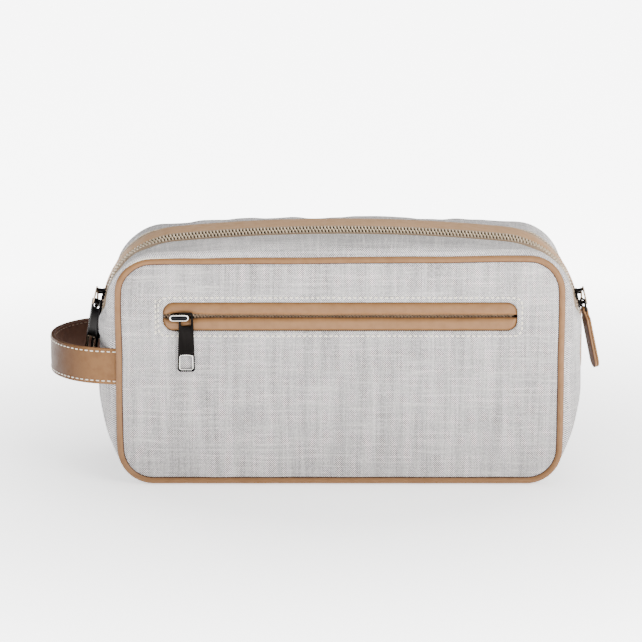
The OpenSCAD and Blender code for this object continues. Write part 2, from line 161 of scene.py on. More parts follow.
class Nodes:
    """Short calls for building one material's node tree."""

    def __init__(self, name):
        self.material = bpy.data.materials.new(name)
        self.material.use_nodes = True
        self.tree = self.material.node_tree
        self.shader = self.tree.nodes["Principled BSDF"]

    def add(self, kind, inputs=None, **settings):
        node = self.tree.nodes.new(kind)
        for key, value in settings.items():
            setattr(node, key, value)
        self.feed(node, inputs or {})
        return node

    def feed(self, node, inputs):
        for key, value in inputs.items():
            if isinstance(value, bpy.types.NodeSocket):
                self.tree.links.new(value, node.inputs[key])
            else:
                node.inputs[key].default_value = value

    def math(self, operation, a, b=0.0, c=0.0):
        return self.add("ShaderNodeMath", {0: a, 1: b, 2: c}, operation=operation).outputs[0]

    def mix(self, factor, a, b, blend="MIX"):
        node = self.add("ShaderNodeMix", {0: factor, 6: a, 7: b}, data_type="RGBA",
                        blend_type=blend)
        return node.outputs[2]

    def darken(self, color, value):
        grey = self.add("ShaderNodeCombineColor", {0: value, 1: value, 2: value})
        return self.mix(1.0, color, grey.outputs[0], "MULTIPLY")

    def ramp(self, value, low, high, out_low=0.0, out_high=1.0):
        node = self.add("ShaderNodeMapRange",
                        {0: value, 1: low, 2: high, 3: out_low, 4: out_high}, clamp=True)
        return node.outputs[0]

    def uv(self):
        return self.add("ShaderNodeUVMap", uv_map="weave").outputs[0]

    def place(self):
        return self.add("ShaderNodeTexCoord").outputs["Object"]

    def split(self, vector):
        node = self.add("ShaderNodeSeparateXYZ", {0: vector})
        return node.outputs[0], node.outputs[1]

    def scaled(self, vector, scale):
        node = self.add("ShaderNodeVectorMath", {0: vector, 1: scale}, operation="MULTIPLY")
        return node.outputs[0]

    def noise(self, vector, scale, detail=2.0, rough=0.5):
        return self.add("ShaderNodeTexNoise", {"Vector": vector, "Scale": scale,
                                               "Detail": detail, "Roughness": rough}).outputs[0]

    def cells(self, vector, scale, feature="F1"):
        return self.add("ShaderNodeTexVoronoi", {"Vector": vector, "Scale": scale},
                        feature=feature).outputs[0]

    def random(self, value):
        node = self.add("ShaderNodeTexWhiteNoise", noise_dimensions="1D")
        self.feed(node, {"W": value})
        return node.outputs["Value"]

    def bump(self, height, distance, strength=1.0, under=None):
        below = {} if under is None else {"Normal": under}
        return self.add("ShaderNodeBump", {"Distance": distance, "Strength": strength,
                                           "Height": height, **below}).outputs[0]

    def finish(self, color, rough, normal, **values):
        named = {key.replace("_", " "): value for key, value in values.items()}
        self.feed(self.shader, {"Base Color": color, "Roughness": rough, "Normal": normal,
                                **named})
        return self.material


# ---------------------------------------------------------------- materials

THREAD_PITCH = 0.64
WARP = (0.10, 0.102, 0.13)
WEFT = (0.97, 0.92, 0.89)


def weave(n, u, v):
    """A plain weave: its height, which thread is on top (1 for the one along v), and the number
    of the thread each way."""
    m = n.math
    u, v = m("DIVIDE", u, THREAD_PITCH), m("DIVIDE", v, THREAD_PITCH)
    arch_u, arch_v = (m("SINE", m("MULTIPLY", m("FRACT", t), math.pi)) for t in (u, v))
    warp_number, weft_number = m("FLOOR", u), m("FLOOR", v)
    top = m("FLOORED_MODULO", m("ADD", warp_number, weft_number), 2.0)
    along_v = m("MULTIPLY", arch_u, m("MULTIPLY_ADD", arch_v, 0.55, 0.45))
    along_u = m("MULTIPLY", arch_v, m("MULTIPLY_ADD", arch_u, 0.55, 0.45))
    height = n.add("ShaderNodeMix", {0: top, 2: along_u, 3: along_v}, data_type="FLOAT")
    return height.outputs[0], top, warp_number, weft_number


def fabric_material(name):
    """Chambray: cool grey threads one way and cream threads the other, with slubs."""
    n = Nodes(name)
    m = n.math
    uv = n.uv()
    sway = m("MULTIPLY_ADD", n.noise(uv, 0.09, 2), 0.5, -0.25)
    u, v = (m("ADD", t, sway) for t in n.split(uv))
    height, top, warp_number, weft_number = weave(n, u, v)
    warp_tone = n.random(warp_number)
    weft_tone = n.random(m("MULTIPLY_ADD", weft_number, 1.37, 0.5))
    broad = n.noise(n.scaled(uv, (0.12, 0.01, 1)), 1.0, 2, 0.6)
    streaks = n.noise(n.scaled(uv, (0.85, 0.022, 1)), 1.0, 3, 0.65)
    picks = n.noise(n.scaled(uv, (0.03, 0.6, 1)), 1.0, 2, 0.6)
    flecks = n.noise(n.scaled(uv, (1.0, 0.75, 1)), 1.0, 2, 0.6)
    cloud = n.noise(uv, 0.02, 3)
    color = n.mix(top, n.mix(weft_tone, shade(WEFT, 0.86), shade(WEFT)),
                  n.mix(warp_tone, shade(WARP, 0.7), shade(WARP, 1.3)))
    dark = m("MULTIPLY", n.ramp(broad, 0.38, 0.64, 1.0, 0.7),
             n.ramp(streaks, 0.42, 0.72, 1.0, 0.58))
    dark = m("MULTIPLY", dark, n.ramp(flecks, 0.5, 0.72, 1.0, 0.74))
    color = n.darken(color, dark)
    color = n.mix(n.ramp(flecks, 0.3, 0.47, 0.3, 0.0), color, (0.93, 0.91, 0.87, 1))
    color = n.mix(n.ramp(picks, 0.5, 0.75, 0, 0.3), color, shade(WEFT))
    color = n.mix(n.ramp(cloud, 0.35, 0.65, 0.0, 0.1), color, (0.93, 0.92, 0.90, 1))
    # painted shade: darker where the weave is low, at the threads' sides and between them
    color = n.darken(color, n.ramp(height, 0.0, 0.55, 0.6, 1.0))
    relief = m("MULTIPLY_ADD", n.noise(uv, 6.0, 2), 0.15, height)
    relief = m("MULTIPLY_ADD", streaks, 0.5, relief)
    return n.finish(color, 0.88, n.bump(relief, 0.00022, 0.85), Sheen_Weight=0.2,
                    Sheen_Roughness=0.5, Specular_IOR_Level=0.25)


def leather_material(name, color, dark, rough=0.5, end_shade=0.0, gloss=0.25):
    """Smooth leather with fine pores, soft creases and a little colour drift, and on request
    painted shade on the left end of the handle, where it turns away from the light."""
    n = Nodes(name)
    place = n.place()
    mottle = n.noise(place, 190, 3, 0.6)
    pores = n.cells(place, 1500)
    creases = n.cells(place, 520, "DISTANCE_TO_EDGE")
    tone = n.mix(n.ramp(n.noise(place, 28, 3), 0.3, 0.7), shade(color), shade(color, 0.93))
    tone = n.mix(n.ramp(mottle, 0.42, 0.75, 0, 0.3), tone, shade(dark))
    tone = n.mix(n.ramp(pores, 0.0, 0.25, 0.12, 0.0), tone, shade(dark))
    # painted shade: the handle's far left end darkens, as it turns away from the light
    if end_shade:
        shade_place = n.math("MULTIPLY_ADD", mottle, 0.004, n.split(place)[0])
        tone = n.mix(n.ramp(shade_place, -0.166, -0.146, end_shade, 0.0), tone, shade(dark))
    relief = n.math("MULTIPLY_ADD", pores, 0.6, n.ramp(creases, 0.0, 0.12))
    soft = n.bump(mottle, 0.0002, 0.35, n.bump(relief, 0.00006, 0.5))
    roughness = n.ramp(mottle, 0.3, 0.7, rough - 0.06, rough + 0.08)
    return n.finish(tone, roughness, soft, Specular_IOR_Level=gloss, Coat_Weight=0.12 * gloss,
                    Coat_Roughness=0.35)


def metal_material(name, color, rough):
    """Plated metal with faint hairline wear."""
    n = Nodes(name)
    place = n.place()
    hair = n.noise(n.scaled(place, (900, 900, 60)), 1.0, 3, 0.7)
    tone = n.mix(n.ramp(hair, 0.45, 0.8, 0, 0.35), shade(color), shade(color, 2.4))
    roughness = n.math("MULTIPLY_ADD", n.ramp(n.noise(place, 160, 2), 0.3, 0.7), 0.1, rough)
    return n.finish(tone, roughness, n.bump(hair, 0.00002, 0.3), Metallic=1.0)


def tape_material(name, color):
    """Herringbone zip tape."""
    n = Nodes(name)
    u, v = n.split(n.uv())
    zig = n.math("PINGPONG", v, 1.2)
    ribs = n.math("SINE", n.math("MULTIPLY", n.math("ADD", u, zig), 2 * math.pi / 0.7))
    tone = n.mix(n.ramp(ribs, -1, 1), shade(color, 0.72), shade(color))
    return n.finish(tone, 0.85, n.bump(ribs, 0.00012, 0.7), Sheen_Weight=0.2)


def teeth_material(name, color):
    """Coil teeth with a dull shine."""
    n = Nodes(name)
    place = n.place()
    tone = n.mix(n.ramp(n.noise(place, 420, 2), 0.3, 0.7), shade(color, 0.8), shade(color))
    return n.finish(tone, 0.34, n.bump(n.noise(place, 2600, 2), 0.00003, 0.4), Metallic=0.35,
                    Specular_IOR_Level=0.6)


def thread_material(name, color):
    """Twisted sewing thread."""
    n = Nodes(name)
    u, v = n.split(n.uv())
    turn = n.math("ADD", u, n.math("MULTIPLY", v, 0.9))
    twist = n.math("SINE", n.math("MULTIPLY", turn, 2 * math.pi / 0.62))
    tone = n.mix(n.ramp(twist, -1, 0.4), shade(color, 0.68), shade(color))
    return n.finish(tone, 0.7, n.bump(twist, 0.0001, 0.8), Sheen_Weight=0.3)


def plain_cloth_material(name, color):
    """Lining, foam and cord inside the bag."""
    n = Nodes(name)
    threads = n.noise(n.scaled(n.place(), (2200, 2200, 700)), 1.0, 2)
    tone = n.mix(n.ramp(threads, 0.3, 0.7), shade(color, 0.8), shade(color))
    return n.finish(tone, 0.9, n.bump(threads, 0.0001, 0.5), Sheen_Weight=0.15)


def floor_material():
    """White paper that glows away from the bag, as a sheet lit from below does."""
    n = Nodes("floor_paper")
    place = n.place()
    x, y = n.split(place)
    reach = n.math("SQRT", n.math("ADD", n.math("MULTIPLY", x, x), n.math("MULTIPLY", y, y)))
    tone = n.mix(n.noise(place, 3.0, 2), (0.95, 0.95, 0.95, 1), (0.97, 0.97, 0.97, 1))
    return n.finish(tone, 0.75, n.bump(n.noise(place, 300, 2), 0.0001, 0.1),
                    Emission_Color=(1, 1, 1, 1),
                    Emission_Strength=n.ramp(reach, 0.12, 0.6, 1.1, 7.0))


fabric = fabric_material("chambray")
gusset_fabric = fabric_material("chambray_gusset")
leather = leather_material("tan_leather", (0.19, 0.093, 0.036), (0.10, 0.044, 0.015))
strip_leather = leather_material("strip_leather", (0.42, 0.25, 0.13), (0.22, 0.115, 0.05))
# the strap gets painted shade on its far left end
strap_leather = leather_material("strap_leather", (0.18, 0.09, 0.039), (0.046, 0.019, 0.008),
                                 end_shade=0.9, gloss=0.08)
lip_leather = leather_material("lip_leather", (0.20, 0.098, 0.038), (0.10, 0.044, 0.016), 0.42)
dark_leather = leather_material("dark_leather", (0.075, 0.032, 0.018), (0.02, 0.01, 0.008))
edge_leather = leather_material("painted_edge", (0.045, 0.02, 0.012), (0.02, 0.01, 0.006), 0.45)
thread = thread_material("cream_thread", (0.97, 0.90, 0.76))
dark_thread = thread_material("brown_thread", (0.16, 0.09, 0.05))
# the tape is made dark brown so that the gaps between the teeth read dark: painted shade in those
# gaps
tape = tape_material("zip_tape", (0.26, 0.18, 0.11))
teeth = teeth_material("zip_teeth", (0.55, 0.44, 0.31))
pocket_teeth = teeth_material("pocket_zip_teeth", (0.24, 0.16, 0.10))
# lighter metals for the rims of the slider caps and pull windows on the gunmetal: painted
# highlights
warm_highlight = metal_material("warm_highlight_rim", (0.20, 0.155, 0.11), 0.2)
gunmetal = metal_material("gunmetal", (0.0045, 0.004, 0.0038), 0.2)
white_highlight = metal_material("white_highlight_rim", (0.75, 0.72, 0.68), 0.16)
dark_enamel = metal_material("dark_enamel", (0.006, 0.006, 0.007), 0.12)
lining = plain_cloth_material("lining", (0.12, 0.085, 0.06))
foam = plain_cloth_material("foam", (0.8, 0.78, 0.72))
cord = plain_cloth_material("cord", (0.75, 0.7, 0.6))


# ---------------------------------------------------------------- mesh helpers

def keep(obj, body, slot, *nodes):
    """Says which body a piece rides on and the CAD nodes it stands for; slot is not used."""
    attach(obj, body)
    if nodes:
        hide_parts(*nodes)


def make_object(name, points, faces, material, uv=None, smooth=True):
    """A mesh from points in millimetres; uv is one pair of millimetres for each point."""
    mesh = bpy.data.meshes.new(name)
    mesh.from_pydata((np.asarray(points, float) * MM).tolist(), [], faces)
    if uv is not None:
        layer = mesh.uv_layers.new(name="weave")
        index = np.zeros(len(mesh.loops), dtype=np.int64)
        mesh.loops.foreach_get("vertex_index", index)
        layer.data.foreach_set("uv", np.asarray(uv, float)[index].astype(np.float32).ravel())
    mesh.materials.append(material)
    mesh.update()
    if smooth:
        mesh.shade_smooth()
    obj = bpy.data.objects.new(name, mesh)
    bpy.context.scene.collection.objects.link(obj)
    return obj


def second_material(obj, material, test):
    """Gives another material to the faces whose normal passes the test."""
    obj.data.materials.append(material)
    for face in obj.data.polygons:
        if test(face.normal):
            face.material_index = 1


def fix_normals(obj):
    mesh = bmesh.new()
    mesh.from_mesh(obj.data)
    bmesh.ops.recalc_face_normals(mesh, faces=mesh.faces)
    mesh.to_mesh(obj.data)
    mesh.free()
    obj.data.update()


def grid_faces(rows, columns, wrap_rows=False, wrap_columns=False, flip=False):
    faces = []
    for i in range(rows if wrap_rows else rows - 1):
        for j in range(columns if wrap_columns else columns - 1):
            a = i * columns + j
            b = i * columns + (j + 1) % columns
            c = (i + 1) % rows * columns + (j + 1) % columns
            d = (i + 1) % rows * columns + j
            faces.append((a, b, c, d) if flip else (a, d, c, b))
    return faces


def tube_faces(rows, columns, base=0, flip=False):
    """The faces of a closed tube whose points start at a base number."""
    ends = [tuple(range(columns)),
            tuple((rows - 1) * columns + k for k in reversed(range(columns)))]
    return [tuple(base + i for i in face)
            for face in grid_faces(rows, columns, wrap_columns=True, flip=flip) + ends]


def unit(vectors):
    return vectors / np.linalg.norm(vectors, axis=-1, keepdims=True)


def run_lengths(points):
    steps = np.linalg.norm(np.diff(points, axis=0), axis=1)
    return np.concatenate([[0], np.cumsum(steps)])


def sample(values, along, wanted):
    """Values at the wanted lengths of a run, from their values along it."""
    return np.stack([np.interp(wanted, along, column) for column in values.T], -1)


def grid_uv(grid):
    rows, columns = grid.shape[:2]
    u = run_lengths(grid[:, columns // 2])
    v = run_lengths(grid[rows // 2])
    return np.stack(np.meshgrid(u, v, indexing="ij"), -1).reshape(-1, 2)


def grid_object(name, grid, material, flip=False, uv=None):
    rows, columns = grid.shape[:2]
    uv = grid_uv(grid) if uv is None else uv
    return make_object(name, grid.reshape(-1, 3), grid_faces(rows, columns, flip=flip),
                       material, uv)


def modify(obj, kind, **settings):
    """Adds a modifier and applies it to the mesh."""
    modifier = obj.modifiers.new("shape", kind)
    for key, value in settings.items():
        setattr(modifier, key, value)
    depsgraph = bpy.context.evaluated_depsgraph_get()
    mesh = bpy.data.meshes.new_from_object(obj.evaluated_get(depsgraph))
    obj.modifiers.clear()
    old = obj.data
    obj.data = mesh
    bpy.data.meshes.remove(old)
    obj.data.shade_smooth()


def thicken(obj, thickness):
    modify(obj, "SOLIDIFY", thickness=thickness * MM, offset=-1.0, use_even_offset=True)


def refine(obj):
    modify(obj, "SUBSURF", levels=1, render_levels=1)


def vertices(mesh):
    return np.array([v.co for v in mesh.vertices])


def set_vertices(mesh, points):
    mesh.vertices.foreach_set("co", points.astype(np.float32).ravel())
    mesh.update()


def wobble(x, y, z, size, seed=0.0):
    """Smooth noise between -1 and 1 that changes over about size millimetres."""
    return noise.noise(Vector((x / size + seed, y / size - seed, z / size + 2 * seed)))


def smooth(value, low, high):
    t = min(1.0, max(0.0, (value - low) / (high - low)))
    return t * t * (3 - 2 * t)


# ---------------------------------------------------------------- cloth simulation

CLOTH_FRAMES = 20
CLOTH = dict(quality=6, mass=0.25, tension_stiffness=12.0, compression_stiffness=12.0,
             shear_stiffness=6.0, bending_stiffness=0.4, use_pressure=True,
             vertex_group_mass="pins")
PIN_REACH = 5
SMOOTHING_ROUNDS = 8
INWARD_SHARE = 0.3


def freedom(points, pinned, reach):
    """How free each point is: 0 at a pinned point, 1 from the given reach onwards."""
    tree = kdtree.KDTree(len(pinned))
    for i in pinned:
        tree.insert(points[i], i)
    tree.balance()
    return np.array([smooth(tree.find(p)[2], 0, reach) for p in points])


def settle(obj, pinned, pressure, growth, cap):
    """Blows a sheet out by cloth simulation, held at its pinned points, and keeps the result,
    smoothed and with no point moved further than the cap."""
    scene = bpy.context.scene
    group = obj.vertex_groups.new(name="pins")
    group.add([int(i) for i in pinned], 1.0, "REPLACE")
    modifier = obj.modifiers.new("cloth", "CLOTH")
    for key, value in CLOTH.items():
        setattr(modifier.settings, key, value)
    modifier.settings.uniform_pressure_force = pressure
    modifier.settings.shrink_min = -growth
    modifier.settings.effector_weights.gravity = 0
    modifier.collision_settings.use_collision = False
    modifier.point_cache.frame_start = 1
    modifier.point_cache.frame_end = CLOTH_FRAMES
    before = vertices(obj.data)
    for step in range(1, CLOTH_FRAMES + 1):
        scene.frame_set(step)
    depsgraph = bpy.context.evaluated_depsgraph_get()
    move = vertices(obj.evaluated_get(depsgraph).data) - before
    obj.modifiers.clear()
    obj.vertex_groups.clear()
    scene.frame_set(1)
    move *= freedom(before, pinned, PIN_REACH * MM)[:, None]
    edges = np.array([e.vertices[:] for e in obj.data.edges])
    degree = np.bincount(edges.ravel(), minlength=len(move))[:, None]
    for _ in range(SMOOTHING_ROUNDS):
        total = np.zeros_like(move)
        np.add.at(total, edges[:, 0], move[edges[:, 1]])
        np.add.at(total, edges[:, 1], move[edges[:, 0]])
        move = 0.4 * move + 0.6 * total / np.maximum(degree, 1)
    length = np.linalg.norm(move, axis=1, keepdims=True)
    normals = np.array([v.normal for v in obj.data.vertices])
    outwards = np.sum(move * normals, 1, keepdims=True) > 0
    limit = np.where(outwards, cap, INWARD_SHARE * cap) * MM
    move *= limit * np.tanh(length / limit) / np.maximum(length, 1e-9)
    set_vertices(obj.data, before + move)


# ---------------------------------------------------------------- the bag's surface

def bulge(y):
    u = max(0.0, abs(y) - FLAT_Y) / (SEAM_Y - FLAT_Y)
    return max(0.0, 1 - u ** 1.5) ** 0.6 if u < 1 else 0.0


def section_sizes(y):
    g = bulge(y)
    side = HALF_W + SEAM_STEP + (SIDE_BULGE - SEAM_STEP) * g
    top = PANEL_H + SEAM_STEP + (TOP_BULGE - SEAM_STEP) * g
    upper = CORNER_R + SEAM_STEP + (SHOULDER_R - CORNER_R - SEAM_STEP) * g
    lower = CORNER_R + SEAM_STEP + (LOWER_R - CORNER_R - SEAM_STEP) * g
    return side, top, upper, lower, max(math.radians(0.05), ARCH_ANGLE * g)


def half_point(s, y, m):
    """A point of the right half: s is 0 base centre, 1 base end, 2 side foot, 3 shoulder foot,
    4 arch foot, 5 crown; m is the depth below the outer face."""
    side, top, upper, lower, arch = section_sizes(y)
    if s < 1:
        return (side - lower) * s, m
    if s < 2:
        p = math.pi / 2 * (s - 2)
        return side - lower + (lower - m) * math.cos(p), lower + (lower - m) * math.sin(p)
    if s < 3:
        return side - m, lower + (top - upper - lower) * (s - 2)
    if s < 4:
        p = (math.pi / 2 - arch) * (s - 3)
        return (side - upper + (upper - m) * math.cos(p),
                top - upper + (upper - m) * math.sin(p))
    big = (side - upper) / math.sin(arch) + upper
    p = arch * (5 - s)
    return (big - m) * math.sin(p), top - upper - (big - upper) * math.cos(arch) \
        + (big - m) * math.cos(p)


def surface_point(s, y, m):
    mirrored = s > 5 or s < 0
    t = 10 - s if s > 5 else abs(s)
    x, z = half_point(t, y, m)
    tuck = 1 - BASE_TUCK * (2 - min(2, max(1, t)))
    return np.array([-x if mirrored else x, y * tuck, z])


def station_at_height(z, y):
    """The station on the right half whose height is z."""
    side, top, upper, lower, arch = section_sizes(y)
    foot = top - upper
    if z < foot:
        return 2 + (z - lower) / (foot - lower)
    return 3 + math.asin((z - foot) / upper) / (math.pi / 2 - arch)


def outline_run(start, end, count, y, m):
    """Points equally spaced along the section between two stations."""
    fine = np.array([surface_point(s, y, m) for s in np.linspace(start, end, 260)])
    along = run_lengths(fine)
    return sample(fine, along, np.linspace(0, along[-1], count))


def top_line(y, m, count, end_z=ZIP_END_Z):
    """A line over the top from the right zip end to the left one, with its outward directions."""
    start = station_at_height(end_z, y)
    path = outline_run(start, 10 - start, count, y, m)
    return path, unit(np.cross((0.0, 1.0, 0.0), np.gradient(path, axis=0)))


def sink(y, z, side):
    """How far the soft fabric beside a top zip lies below the full shape."""
    across = smooth(45.4 - abs(y), 0, 6.5)
    low = smooth(z, 95, 104) * (1 - smooth(z, 117, 131))
    middle = smooth(z, 112, 126) * (1 - smooth(z, 138, 145))
    high = smooth(z, 136, 145) * smooth(44 - abs(y), 0, 20)
    if side == FRONT:
        return across * (3.6 * low + 2.3 * middle) + 3.5 * high
    return across * (2.2 * low + 1.6 * middle) + 3.9 * high


def seam_drift(x, z):
    """How far the seams wander from their straight lines: sideways and upwards."""
    upper = smooth(z, 116, 136)
    dz = upper * (0.0075 * x - 0.45 + 0.35 * wobble(x, 0, 0, 38, 4))
    height = smooth(z, 8, 34) * (1 - smooth(z, 112, 134))
    dx = height * (0.35 + 0.25 * wobble(0, 0, z, 30, 2)) * smooth(abs(x), 90, 130)
    return (dx if x > 0 else -1.8 * dx), dz


def wander(points, weights=None):
    """Moves points with the seams; a weight is how much one of them follows."""
    moved = np.array(points, float)
    weights = np.ones(len(moved)) if weights is None else weights
    for k, (x, _, z) in enumerate(moved):
        dx, dz = seam_drift(x, z)
        moved[k] += (dx * weights[k], 0, dz * weights[k])
    return moved


# ---------------------------------------------------------------- stitching

STITCH_PROFILE = [(0.0, -1.3, 0.7), (0.12, 0.1, 0.95), (0.35, 0.55, 1.0), (0.65, 0.55, 1.0),
                  (0.88, 0.1, 0.95), (1.0, -1.3, 0.7)]


def stitch_runs(points, normals, stitch, gap):
    """Cuts a path on a surface into (start, end, outward) triples, one for each stitch."""
    points, normals = np.asarray(points, float), np.asarray(normals, float)
    along = run_lengths(points)
    count = int(along[-1] // (stitch + gap))
    pitch = along[-1] / count
    runs = []
    for i in range(count):
        a = i * pitch + gap / 2
        b = a + pitch - gap
        outward = unit(sample(normals, along, (a + b) / 2))
        runs.append((sample(points, along, a), sample(points, along, b), outward))
    return runs


def stitches(name, runs, radius, material, body="bag"):
    """Raised stitches as one piece."""
    points, faces, uv, sides = [], [], [], 6
    for start, end, outward in runs:
        length = np.linalg.norm(end - start)
        along = (end - start) / length
        across = unit(np.cross(along, outward))
        lift = np.cross(across, along)
        faces += tube_faces(len(STITCH_PROFILE), sides, len(points), flip=True)
        for t, height, width in STITCH_PROFILE:
            centre = start + along * length * t + lift * height * radius
            for k in range(sides):
                a = 2 * math.pi * k / sides
                points.append(centre + radius * width * (math.cos(a) * across
                                                         + 0.8 * math.sin(a) * lift))
                uv.append((t * length, radius * a))
    keep(make_object(name, points, faces, material, uv), body, "cord")


# ---------------------------------------------------------------- padded fabric

def rounded_rect(half_w, half_h, radius, spacing):
    """Points round a rounded rectangle about the origin, counter-clockwise, evenly spaced."""
    corners = [(half_w - radius, half_h - radius, 0), (radius - half_w, half_h - radius, 90),
               (radius - half_w, radius - half_h, 180), (half_w - radius, radius - half_h, 270)]
    fine = []
    for x, z, start in corners:
        for k in range(13):
            a = math.radians(start + 90 * k / 12)
            fine.append((x + radius * math.cos(a), z + radius * math.sin(a)))
    fine = np.array(fine + fine[:1])
    along = run_lengths(fine)
    count = max(16, int(round(along[-1] / spacing)))
    return sample(fine, along, np.linspace(0, along[-1], count, endpoint=False))


def edge_distance(x, z, half_w, half_h, radius):
    """Distance inwards from the edge of a rounded rectangle."""
    dx = abs(x) - (half_w - radius)
    dz = abs(z) - (half_h - radius)
    outside = math.hypot(max(dx, 0), max(dz, 0))
    return radius - outside - min(max(dx, dz), 0)


def from_panel_edge(x, z):
    """Distance inwards from the edge of a panel; z is from the panel's middle."""
    return edge_distance(x, z, HALF_W, PANEL_H / 2, CORNER_R)


def from_window(x, z, grow=0.0):
    """Distance inwards from the edge of the pocket's window; z is from the pocket's middle."""
    return edge_distance(x, z, POCKET_HALF_W + grow, POCKET_HALF_H + grow, WINDOW_R + grow)


def triangulate(points, loop):
    """Triangles over flat points, inside the closed loop of point numbers."""
    edges = [(loop[k], loop[(k + 1) % len(loop)]) for k in range(len(loop))]
    _, _, faces, origins, _, _ = geometry.delaunay_2d_cdt([Vector(p) for p in points], edges,
                                                          [loop], 1, 1e-6)
    order = [source[0] if source else -1 for source in origins]
    return [tuple(order[i] for i in face) for face in faces]


# distances inwards from the panel's edge and outwards from the window's, and the surface there
PANEL_EDGE = ((2.6, 3.3, 3.9, 4.9, 6.6), (46.2, 46.75, 47.2, 47.6, 47.85))
WINDOW_EDGE = ((0.0, 0.25, 0.8, 1.7), (46.9, 47.45, 47.8, 47.9))
PANEL_PITCH = 2.3


def panel_depth(x, z, window):
    """How far out the resting panel is at a point, as a distance from the middle of the bag."""
    d = from_panel_edge(x, z - PANEL_H / 2)
    crown = 1 - math.exp(-max(0, d - 6) / 16)
    depth = float(np.interp(d, *PANEL_EDGE))
    depth += 1.1 * crown * (0.8 + 0.35 * wobble(x, 0, z, 60, 3))
    depth += 0.22 * crown * wobble(x, 0, z, 22, 8)
    if window:
        out = -from_window(x, z - POCKET_Z)
        near = math.exp(-((out - STITCH_OUT) / 0.8) ** 2)
        fade = min(1, max(0, (out - 2) / 26))
        flat = float(np.interp(out, *WINDOW_EDGE))
        depth = flat + (depth - 47.85) * fade - 0.28 * near
        limit = 0.75 + 8 * min(1, math.hypot((x + 91) / 30, (z - 84) / 40) ** 4)
        depth = min(depth, 47.9 + limit)
    return depth


def build_panel(side):
    """A flat panel of fabric over thin foam, with the pocket's window in the front one."""
    window = side == FRONT
    node = "front_panel" if window else "back_panel"
    middle = POCKET_Z - PANEL_H / 2
    rings = [rounded_rect(HALF_W - inset, PANEL_H / 2 - inset, CORNER_R - inset, 2.2)
             for inset in (*PANEL_EDGE[0], 9.2)]
    holes = [rounded_rect(POCKET_HALF_W + offset, POCKET_HALF_H + offset, WINDOW_R + offset,
                          1.8) + (0, middle)
             for offset in (0.0, 0.25, 0.8, 1.7, 2.4, 3.0, 3.6, 4.6, 6.2)] if window else []
    flat = np.vstack(rings + holes).tolist()
    for i in range(-60, 61):
        for j in range(-34, 35):
            x, z = (i + (j % 2) / 2) * PANEL_PITCH, j * PANEL_PITCH * 0.87
            clear = not window or from_window(x, z - middle, 7.4) <= 0
            if clear and from_panel_edge(x, z) >= 10.4:
                flat.append([x, z])
    faces = triangulate(flat, list(range(len(rings[0]))))
    if window:
        start = sum(len(ring) for ring in rings)
        hole = set(range(start, start + len(holes[0])))
        faces = [face for face in faces if not hole.issuperset(face)]
    else:
        faces = [face[::-1] for face in faces]
    solid = wander([(x, side * panel_depth(x, z + PANEL_H / 2, window), z + PANEL_H / 2)
                    for x, z in flat])
    obj = make_object(node + "_cloth", solid, faces, fabric, flat)
    pinned = []
    for i, (x, z) in enumerate(flat):
        hem = window and from_window(x, z - middle) > -3.8
        pull = window and abs(x + 91) < 14 and 62 < z + PANEL_H / 2 < 95
        if from_panel_edge(x, z) < 5 or hem or pull:
            pinned.append(i)
    settle(obj, pinned, 1.2, 0.012, 1.1)
    thicken(obj, 1.0)
    keep(obj, "bag", "outer_fabric", node)


# rows of the gussets: distance from the bag's middle plane, and depth below its full shape
ZIP_SIDE_ROWS = [(23.05, 0.95), (22.8, 0.62), (22.85, 0.25), (23.25, 0.02), (23.9, 0.0)]
SEAM_ROWS = [(44.4, 0.0), (45.3, 0.15), (45.95, 0.75), (46.2, 1.7), (46.0, 2.7)]
TOP_ROWS = ZIP_SIDE_ROWS + [
    (y, 0.4 if y == TOP_STITCH_Y else 0.1 if abs(y - TOP_STITCH_Y) < 0.5 else 0)
    for y in (24.8, 25.7, 26.2, 26.6, 27.0, 27.8, 29.2, 30.8, 32.2, 33.8, 35.5, 37.2, 38.9, 40.4,
              41.7, 42.8, 43.7)] + SEAM_ROWS
INNER_ROWS = [(y, 0.0) for y in (26.5, 29, 31.5, 34, 36.5, 39, 41.5, 43.5)]
BASE_HALF_ROWS = SEAM_ROWS[::-1] + [
    (y, 0.0) for y in (43.7, 42.8, 41.5, 39.8, 37.8, 35.6, 33.2, 30.8, 28.2, 25.6, 22.8, 20.0,
                       17.2, 14.4, 11.5, 8.6, 5.7, 2.8)]
BASE_ROWS = [(-y, m) for y, m in BASE_HALF_ROWS] + [(0.0, 0.0)] + BASE_HALF_ROWS[::-1]
BASE_FOLD = [0.55, 0.15, -0.12, -0.3, -0.3, -0.28, -0.1]


def top_sheet(side, depth, rows, count, end_z):
    """A sheet beside one zip, lowered where the fabric sinks, at an extra depth below it."""
    lines = [top_line(side * y, m, count, end_z) for y, m in rows]
    grid = np.stack([path for path, _ in lines], 1)
    outward = np.stack([normals for _, normals in lines], 1)
    for i in range(count):
        for j, (y, _) in enumerate(rows):
            x, _, z = grid[i, j]
            grid[i, j] -= outward[i, j] * (sink(y, z, side) + depth)
            dx, dz = seam_drift(x, z)
            weight = smooth(y, 30, 45)
            grid[i, j] += (dx * weight, 0, dz * weight)
    return grid


